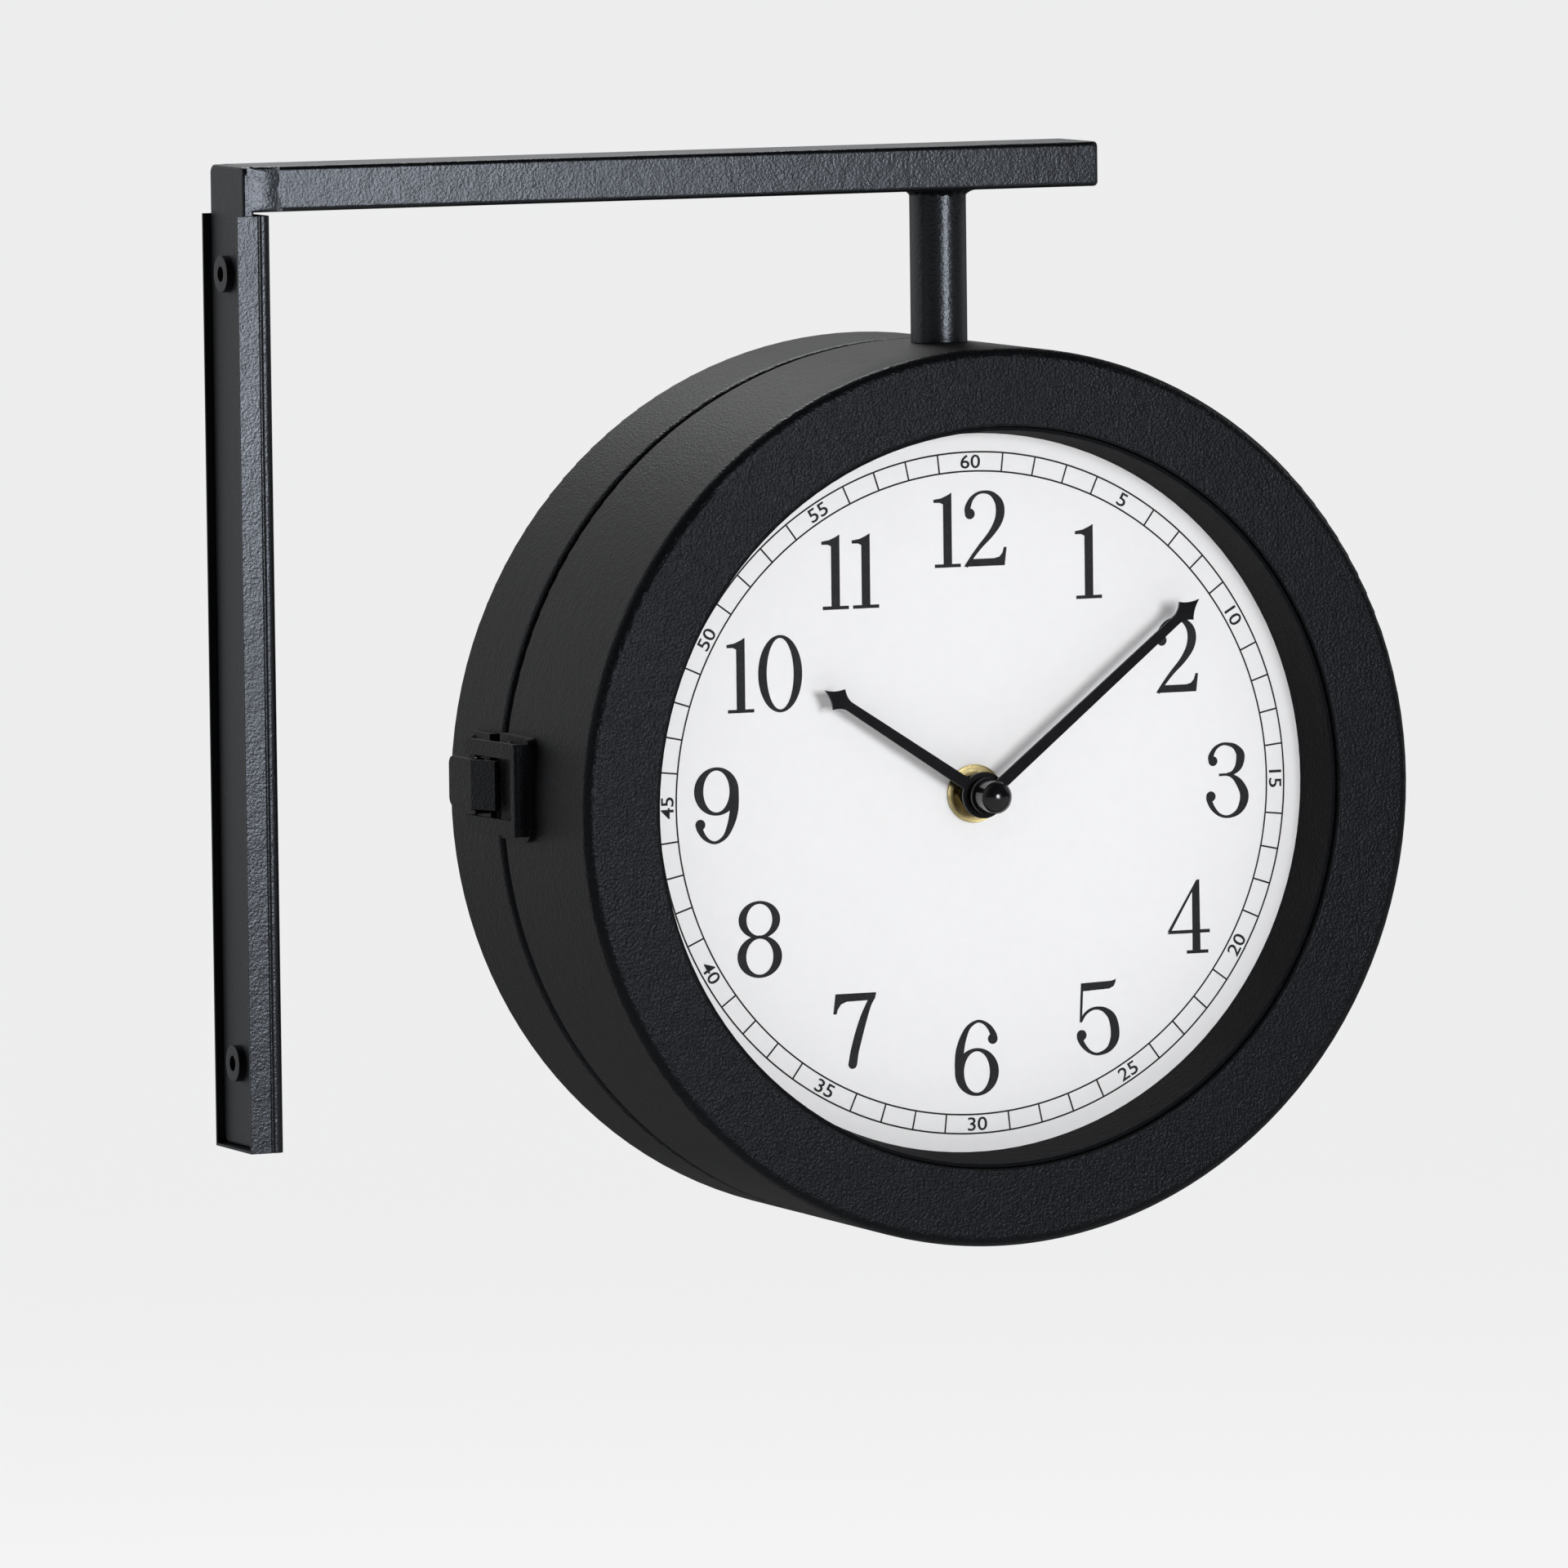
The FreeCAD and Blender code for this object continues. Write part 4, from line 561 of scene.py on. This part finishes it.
def powder(name="case_powder", gloss=0.12, rough=0.31, depth=0.00042, waves=0.00030):
    """Fine textured powder coat: small grains over a slower orange peel, with a painted highlight that
    lightens its sharp edges.
    """
    made, tree, shader = new_material(name)
    if tree:
        look = bpy.context.scene.clock_finish
        where = place_node(tree)
        normal, edge_highlight = soft_edges(tree, look.round_edge, 0.65)
        grain = noise(tree, where, 1 / look.grain, 2.0, 0.6)
        peel = noise(tree, where, 0.22 / look.grain, 2.0)
        cloud = noise(tree, where, 18.0, 3.0)
        coat = tint(tree, span(tree, grain, 0, 1), scaled(look.powder, 0.75), scaled(look.powder, 1.3))
        # Painted highlight: the coat is painted three times lighter where the bevel normal leans off the
        # surface.
        tree.links.new(blend(tree, edge_highlight, coat, scaled(look.powder, 3.0)), shader.inputs["Base Color"])
        glance = tree.nodes.new("ShaderNodeLayerWeight").outputs["Facing"]
        rougher = any_of(tree, span(tree, cloud, rough - 0.03, rough + 0.03),
                         span(tree, glance, 0, GLANCE_ROUGH, 0.0, 0.85))
        tree.links.new(rougher, shader.inputs["Roughness"])
        shader.inputs["Specular IOR Level"].default_value = gloss
        shader.inputs["Specular Tint"].default_value = (*COAT_TINT, 1)
        first = relief(tree, shader, peel, waves, 0.5, normal)
        relief(tree, shader, grain, depth, 0.8, first)
    return made


def bracket_powder():
    """The same coat on the bracket, a little smoother and glossier."""
    return powder("bracket_powder", 0.40, 0.27, 0.00014, 0.00022)


def reveal_powder():
    """The same coat inside the rings, dulled."""
    return powder("reveal_powder", 0.05, 0.50)


def ink():
    """Printing ink: nearly flat black with a faint grain and thin spots."""
    made, tree, shader = new_material("dial_ink")
    if tree:
        look = bpy.context.scene.clock_finish
        where = place_node(tree)
        tree.links.new(speckle(tree, where, 900.0, look.ink, scaled(look.ink, 1.9)),
                       shader.inputs["Base Color"])
        mottle_roughness(tree, shader, where, 120.0, 0.5, 0.65)
        shader.inputs["Specular IOR Level"].default_value = 0.15
    return made


def dial_paint():
    """Matt white paint with a very slight mottle."""
    made, tree, shader = new_material("dial_paint")
    if tree:
        look = bpy.context.scene.clock_finish
        where = place_node(tree)
        tree.links.new(speckle(tree, where, 260.0, scaled(look.dial, 0.985), look.dial),
                       shader.inputs["Base Color"])
        mottle_roughness(tree, shader, where, 60.0, 0.5, 0.62)
        shader.inputs["Specular IOR Level"].default_value = 0.2
        relief(tree, shader, noise(tree, where, 900.0, 2.0), 0.00002, 0.4)
    return made


def hand_paint():
    """Satin black paint on the stamped hands, with a painted highlight: their side faces are painted a
    lighter grey.
    """
    made, tree, shader = new_material("hand_paint")
    if tree:
        look = bpy.context.scene.clock_finish
        where = place_node(tree)
        paint = speckle(tree, where, 700.0, look.hand, scaled(look.hand, 1.8))
        surface = tree.nodes.new("ShaderNodeNewGeometry")
        split = tree.nodes.new("ShaderNodeSeparateXYZ")
        tree.links.new(surface.outputs["True Normal"], split.inputs["Vector"])
        lean = tree.nodes.new("ShaderNodeMath")
        lean.operation = "ABSOLUTE"
        tree.links.new(split.outputs["Y"], lean.inputs[0])
        # Painted highlight: faces that turn away from the dial's axis take the lighter rim colour.
        rim_highlight = span(tree, lean.outputs["Value"], 1, 0, 0.3, 0.7)
        tree.links.new(blend(tree, rim_highlight, paint, look.edge), shader.inputs["Base Color"])
        mottle_roughness(tree, shader, where, 200.0, 0.40, 0.52)
        shader.inputs["Specular IOR Level"].default_value = 0.06
        relief(tree, shader, noise(tree, where, 1500.0, 2.0), 0.00001, 0.4)
    return made


def cap_gloss():
    """Gloss black moulding with faint moulding flow."""
    made, tree, shader = new_material("cap_gloss")
    if tree:
        look = bpy.context.scene.clock_finish
        where = place_node(tree)
        tree.links.new(speckle(tree, where, 300.0, look.cap, scaled(look.cap, 1.6)),
                       shader.inputs["Base Color"])
        mottle_roughness(tree, shader, where, 400.0, 0.12, 0.2)
        relief(tree, shader, noise(tree, where, 260.0, 2.0), 0.00002, 0.3)
    return made


def turned_metal(name, colour_value, rough, side):
    """Turned metal: rings of tool marks round the arbor, worked out from the distance to its axis."""
    made, tree, shader = new_material(name)
    if tree:
        low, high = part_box(side + "_dial")
        where = place_node(tree)
        centre = tree.nodes.new("ShaderNodeMapping")
        middle_x, middle_z = (low[0] + high[0]) / 2, (low[2] + high[2]) / 2
        centre.inputs["Location"].default_value = (-middle_x, 0, -middle_z)
        centre.inputs["Scale"].default_value = (1, 0, 1)
        tree.links.new(where, centre.inputs["Vector"])
        reach = tree.nodes.new("ShaderNodeVectorMath")
        reach.operation = "LENGTH"
        tree.links.new(centre.outputs["Vector"], reach.inputs[0])
        marks = tree.nodes.new("ShaderNodeTexNoise")
        marks.noise_dimensions = "1D"
        marks.inputs["Scale"].default_value = 5200.0
        marks.inputs["Detail"].default_value = 3.0
        tree.links.new(reach.outputs["Value"], marks.inputs["W"])
        dull, bright = scaled(colour_value, 0.72), scaled(colour_value, 1.1)
        tree.links.new(speckle(tree, where, 500.0, dull, bright, 4.0), shader.inputs["Base Color"])
        shader.inputs["Metallic"].default_value = 1.0
        tool_marks = marks.outputs["Fac"]
        tree.links.new(span(tree, tool_marks, rough - 0.08, rough + 0.14), shader.inputs["Roughness"])
        relief(tree, shader, tool_marks, 0.00006, 0.6)
    return made


def bright_steel():
    """Zinc plated steel with a faint spangle."""
    made, tree, shader = new_material("bright_steel")
    if tree:
        where = place_node(tree)
        tree.links.new(speckle(tree, where, 700.0, (0.42, 0.42, 0.43), (0.62, 0.62, 0.62)),
                       shader.inputs["Base Color"])
        shader.inputs["Metallic"].default_value = 1.0
        mottle_roughness(tree, shader, where, 260.0, 0.26, 0.42)
        relief(tree, shader, noise(tree, where, 1400.0, 2.0), 0.00002, 0.5)
    return made


def moulded_black():
    """Spark-eroded texture of a moulded black case."""
    made, tree, shader = new_material("moulded_black")
    if tree:
        where = place_node(tree)
        tree.links.new(speckle(tree, where, 900.0, (0.012, 0.012, 0.013), (0.03, 0.03, 0.032)),
                       shader.inputs["Base Color"])
        mottle_roughness(tree, shader, where, 90.0, 0.5, 0.64)
        relief(tree, shader, noise(tree, where, 2200.0, 2.0), 0.00005, 0.6)
    return made


def cell_wrap(side):
    """Plain wrap of a dry cell: dark body with a copper coloured band at its plus end."""
    made, tree, shader = new_material(side + "_cell_wrap")
    if tree:
        low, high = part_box(side + "_battery")
        plus_high = side == "front"
        where = place_node(tree)
        split = tree.nodes.new("ShaderNodeSeparateXYZ")
        tree.links.new(where, split.inputs["Vector"])
        edge = high[0] - PLUS_BAND if plus_high else low[0] + PLUS_BAND
        wide = BAND_EDGE if plus_high else -BAND_EDGE
        band = span(tree, split.outputs["X"], 0, 1, edge, edge + wide)
        tree.links.new(tint(tree, band, (0.03, 0.032, 0.036), (0.45, 0.2, 0.07)),
                       shader.inputs["Base Color"])
        mottle_roughness(tree, shader, where, 150.0, 0.2, 0.32)
        relief(tree, shader, noise(tree, where, 400.0, 2.0), 0.00003, 0.3)
    return made


def seal():
    """Cellular rubber."""
    made, tree, shader = new_material("seal_rubber")
    if tree:
        where = place_node(tree)
        cells = tree.nodes.new("ShaderNodeTexVoronoi")
        cells.inputs["Scale"].default_value = 1800.0
        tree.links.new(where, cells.inputs["Vector"])
        tree.links.new(tint(tree, cells.outputs["Distance"], (0.02, 0.02, 0.02), (0.009, 0.009, 0.009)),
                       shader.inputs["Base Color"])
        shader.inputs["Roughness"].default_value = 0.85
        relief(tree, shader, cells.outputs["Distance"], 0.0001, 0.6)
    return made


BRACKET = ("bracket_upright", "wall_pads", "upright_cover", "bracket_arm", "arm_end_plate", "drop_post")


def finish_of(node, slot):
    """The finish for a node of the frame, chosen by its name and the record's slot."""
    side = node.split("_")[0]
    if slot == "brass":
        brass = bpy.context.scene.clock_finish.brass
        return turned_metal(side + "_turned_brass", brass, 0.26, side)
    if slot == "cell_wrap":
        return cell_wrap(side)
    if node.endswith("_reveal"):
        return reveal_powder()
    if node in BRACKET:
        return bracket_powder()
    return {"black_powder": powder, "dial_white": dial_paint, "hand_black": hand_paint,
            "cap_black": cap_gloss, "bare_steel": bright_steel, "movement_plastic": moulded_black,
            "seal_rubber": seal}[slot]()


class CLOCK_OT_paint(bpy.types.Operator):
    """Give every part of the frame its finish"""
    bl_idname = "clock.paint"
    bl_label = "Paint the parts"

    def execute(self, context):
        for entry in frame["record"]["subparts"]:
            piece = frame["nodes"][entry["node"]]
            piece.data.materials.clear()
            piece.data.materials.append(finish_of(entry["node"], entry["material_slot"]))
        return {"FINISHED"}


# ---------------------------------------------------------------- stage
WHITE = (0.95, 0.95, 0.955)            # the backdrop as the camera sees it
DAYLIGHT = (0.95, 0.97, 1.0)           # tone of the front light and of the room
FLOOR_REACH = 40.0                     # half the width of the floor
FLOOR_SHARE = 0.85                     # how much of the floor is plain white to the camera
NEAR_GLOSS = 0.50                      # how white the floor is in gloss near the clock
NEAR, FAR = 1.0, 6.0                   # where behind the dial that starts to grow, and ends
BEHIND = (-0.6, 0.8, 0.2)              # side of the room that gloss sees white
CLOCK_MIDDLE = (0.25, 0.0, -0.05)      # what the lamps look at
# Name, setting of its power, width and height, place and tone of each lamp.
LAMPS = (("front_light", "key", (0.55, 0.60), (0.52, -2.0, 0.16), DAYLIGHT),
         ("side_light", "side", (1.2, 1.2), (-2.2, 0.9, 0.8), (1, 1, 1)),
         ("rear_light", "rear", (0.9, 0.9), (0.6, 1.6, 1.5), (1, 1, 1)),
         ("hinge_light", "hinge", (1.2, 1.2), (2.4, 0.35, 0.9), (1, 1, 1)))
# The camera fitted to the photograph: its lens in pixels of the width, and its axes and place.
PHOTO_WIDTH, LENS_PIXELS, SENSOR = 1920, 18143, 36.0
CAMERA_ROWS = ((0.91913, 0.04481, -0.39141, -1.738), (-0.39378, 0.07388, -0.91623, -4.5333),
               (-0.01214, 0.99626, 0.08555, 0.3767), (0, 0, 0, 1))


def any_of(tree, *sockets):
    """The largest of several values."""
    result = sockets[0]
    for socket in sockets[1:]:
        node = tree.nodes.new("ShaderNodeMath")
        node.operation = "MAXIMUM"
        tree.links.new(result, node.inputs[0])
        tree.links.new(socket, node.inputs[1])
        result = node.outputs["Value"]
    return result


def times(tree, first, second):
    """A value times another, or times a number."""
    node = tree.nodes.new("ShaderNodeMath")
    node.operation = "MULTIPLY"
    tree.links.new(first, node.inputs[0])
    if isinstance(second, float):
        node.inputs[1].default_value = second
    else:
        tree.links.new(second, node.inputs[1])
    return node.outputs["Value"]


def mixed(tree, share, first, second):
    """The first shader, giving way to the second where share is 1."""
    node = tree.nodes.new("ShaderNodeMixShader")
    tree.links.new(share, node.inputs["Fac"])
    tree.links.new(first, node.inputs[1])
    tree.links.new(second, node.inputs[2])
    return node.outputs["Shader"]


def lay_floor(sizes):
    """A wide pale floor: white where it is seen, except where the clock shades it.

    Gloss sees it less white near the clock than far behind it.
    """
    made, tree, shader = new_material("studio_floor")
    shader.inputs["Base Color"].default_value = (*sizes.floor, 1)
    where = place_node(tree)
    tree.links.new(span(tree, noise(tree, where, 6.0), 0.82, 0.95), shader.inputs["Roughness"])
    glow = tree.nodes.new("ShaderNodeEmission")
    glow.inputs["Color"].default_value = (*WHITE, 1)
    path = tree.nodes.new("ShaderNodeLightPath").outputs
    split = tree.nodes.new("ShaderNodeSeparateXYZ")
    tree.links.new(where, split.inputs["Vector"])
    gloss = any_of(tree, path["Is Glossy Ray"], path["Is Transmission Ray"])
    behind = times(tree, gloss, span(tree, split.outputs["Y"], NEAR_GLOSS, sizes.mirror, NEAR, FAR))
    tree.links.new(any_of(tree, path["Is Camera Ray"], behind), glow.inputs["Strength"])
    seen = any_of(tree, times(tree, path["Is Camera Ray"], FLOOR_SHARE), gloss)
    output = next(n for n in tree.nodes if n.type == "OUTPUT_MATERIAL")
    shade = mixed(tree, seen, shader.outputs["BSDF"], glow.outputs["Emission"])
    tree.links.new(shade, output.inputs["Surface"])
    corners = [(x * FLOOR_REACH, y * FLOOR_REACH, -sizes.floor_drop)
               for x, y in ((-1, -1), (1, -1), (1, 1), (-1, 1))]
    mesh = bpy.data.meshes.new("studio_floor")
    mesh.from_pydata(corners, [], [(0, 1, 2, 3)])
    mesh.materials.append(made)
    floor = bpy.data.objects.new("studio_floor", mesh)
    bpy.context.scene.collection.objects.link(floor)


def light_room(sizes):
    """Even light from all round; gloss sees the white backdrop on the wall's side and behind."""
    world = bpy.data.worlds.new("studio_room")
    bpy.context.scene.world = world
    world.use_nodes = True
    tree = world.node_tree
    tree.nodes.clear()
    room, backdrop, dark = (tree.nodes.new("ShaderNodeBackground") for i in range(3))
    room.inputs["Color"].default_value = (*DAYLIGHT, 1)
    room.inputs["Strength"].default_value = sizes.sky
    backdrop.inputs["Color"].default_value = (*WHITE, 1)
    dark.inputs["Strength"].default_value = 0.0
    way = tree.nodes.new("ShaderNodeTexCoord")
    dot = tree.nodes.new("ShaderNodeVectorMath")
    dot.operation = "DOT_PRODUCT"
    dot.inputs[1].default_value = BEHIND
    tree.links.new(way.outputs["Generated"], dot.inputs[0])
    behind = span(tree, dot.outputs["Value"], 0, sizes.mirror, 0.1, 0.8)
    path = tree.nodes.new("ShaderNodeLightPath").outputs
    gloss = times(tree, any_of(tree, path["Is Glossy Ray"], path["Is Transmission Ray"]), behind)
    lit = mixed(tree, path["Is Glossy Ray"], room.outputs["Background"], dark.outputs["Background"])
    output = tree.nodes.new("ShaderNodeOutputWorld")
    seen = any_of(tree, path["Is Camera Ray"], gloss)
    shade = mixed(tree, seen, lit, backdrop.outputs["Background"])
    tree.links.new(shade, output.inputs["Surface"])


def lamp(name, watts, size, spot, tone):
    """A soft box that looks at the middle of the clock."""
    light = bpy.data.lights.new(name, "AREA")
    light.shape = "RECTANGLE"
    light.size, light.size_y = size
    light.energy = watts
    light.color = tone
    carrier = bpy.data.objects.new(name, light)
    bpy.context.scene.collection.objects.link(carrier)
    back = np.array(spot) - CLOCK_MIDDLE
    back /= np.linalg.norm(back)
    right = np.cross((0, 0, 1), back)
    right /= np.linalg.norm(right)
    matrix = Matrix(np.stack([right, np.cross(back, right), back], 1).tolist()).to_4x4()
    matrix.translation = spot
    carrier.matrix_world = matrix


class CLOCK_OT_stage(bpy.types.Operator):
    """Set the pale floor, the soft lights and the camera"""
    bl_idname = "clock.set_stage"
    bl_label = "Set the stage"

    def execute(self, context):
        scene = context.scene
        sizes = scene.clock_studio
        lay_floor(sizes)
        light_room(sizes)
        for name, setting, size, spot, tone in LAMPS:
            lamp(name, getattr(sizes, setting), size, spot, tone)
        camera = bpy.data.objects.new("photo_camera", bpy.data.cameras.new("photo_camera"))
        scene.collection.objects.link(camera)
        camera.data.sensor_width = SENSOR
        camera.data.lens = SENSOR * LENS_PIXELS / PHOTO_WIDTH
        camera.data.clip_start = 0.5
        camera.data.clip_end = 200.0
        camera.matrix_world = Matrix(CAMERA_ROWS)
        scene.camera = camera
        scene.view_settings.view_transform = "Standard"
        return {"FINISHED"}


class CLOCK_PT_panel(bpy.types.Panel):
    """Lists the steps that dress the clock"""
    bl_idname = "CLOCK_PT_panel"
    bl_label = "Station clock"
    bl_space_type = "VIEW_3D"
    bl_region_type = "UI"
    bl_category = "Clock"

    def draw(self, context):
        for operator in OPERATORS:
            self.layout.operator(operator.bl_idname)
        for group in GROUPS.values():
            settings = getattr(context.scene, group)
            for name in settings.bl_rna.properties.keys():
                if name not in ("name", "rna_type"):
                    self.layout.prop(settings, name)


OPERATORS = (CLOCK_OT_paint, CLOCK_OT_print, CLOCK_OT_weld, CLOCK_OT_stage)
GROUPS = {CLOCK_PG_print: "clock_print", CLOCK_PG_finish: "clock_finish", CLOCK_PG_weld: "clock_weld",
          CLOCK_PG_studio: "clock_studio"}
CLASSES = tuple(GROUPS) + OPERATORS + (CLOCK_PT_panel,)


def register():
    for made in CLASSES:
        bpy.utils.register_class(made)
    for made, name in GROUPS.items():
        setattr(bpy.types.Scene, name, bpy.props.PointerProperty(type=made))


def unregister():
    for name in GROUPS.values():
        delattr(bpy.types.Scene, name)
    for made in reversed(CLASSES):
        bpy.utils.unregister_class(made)


def main():
    register()
    bpy.ops.clock.paint()
    bpy.ops.clock.print_dials()
    bpy.ops.clock.lay_welds()
    bpy.ops.clock.set_stage()


if __name__ == "__main__":
    main()
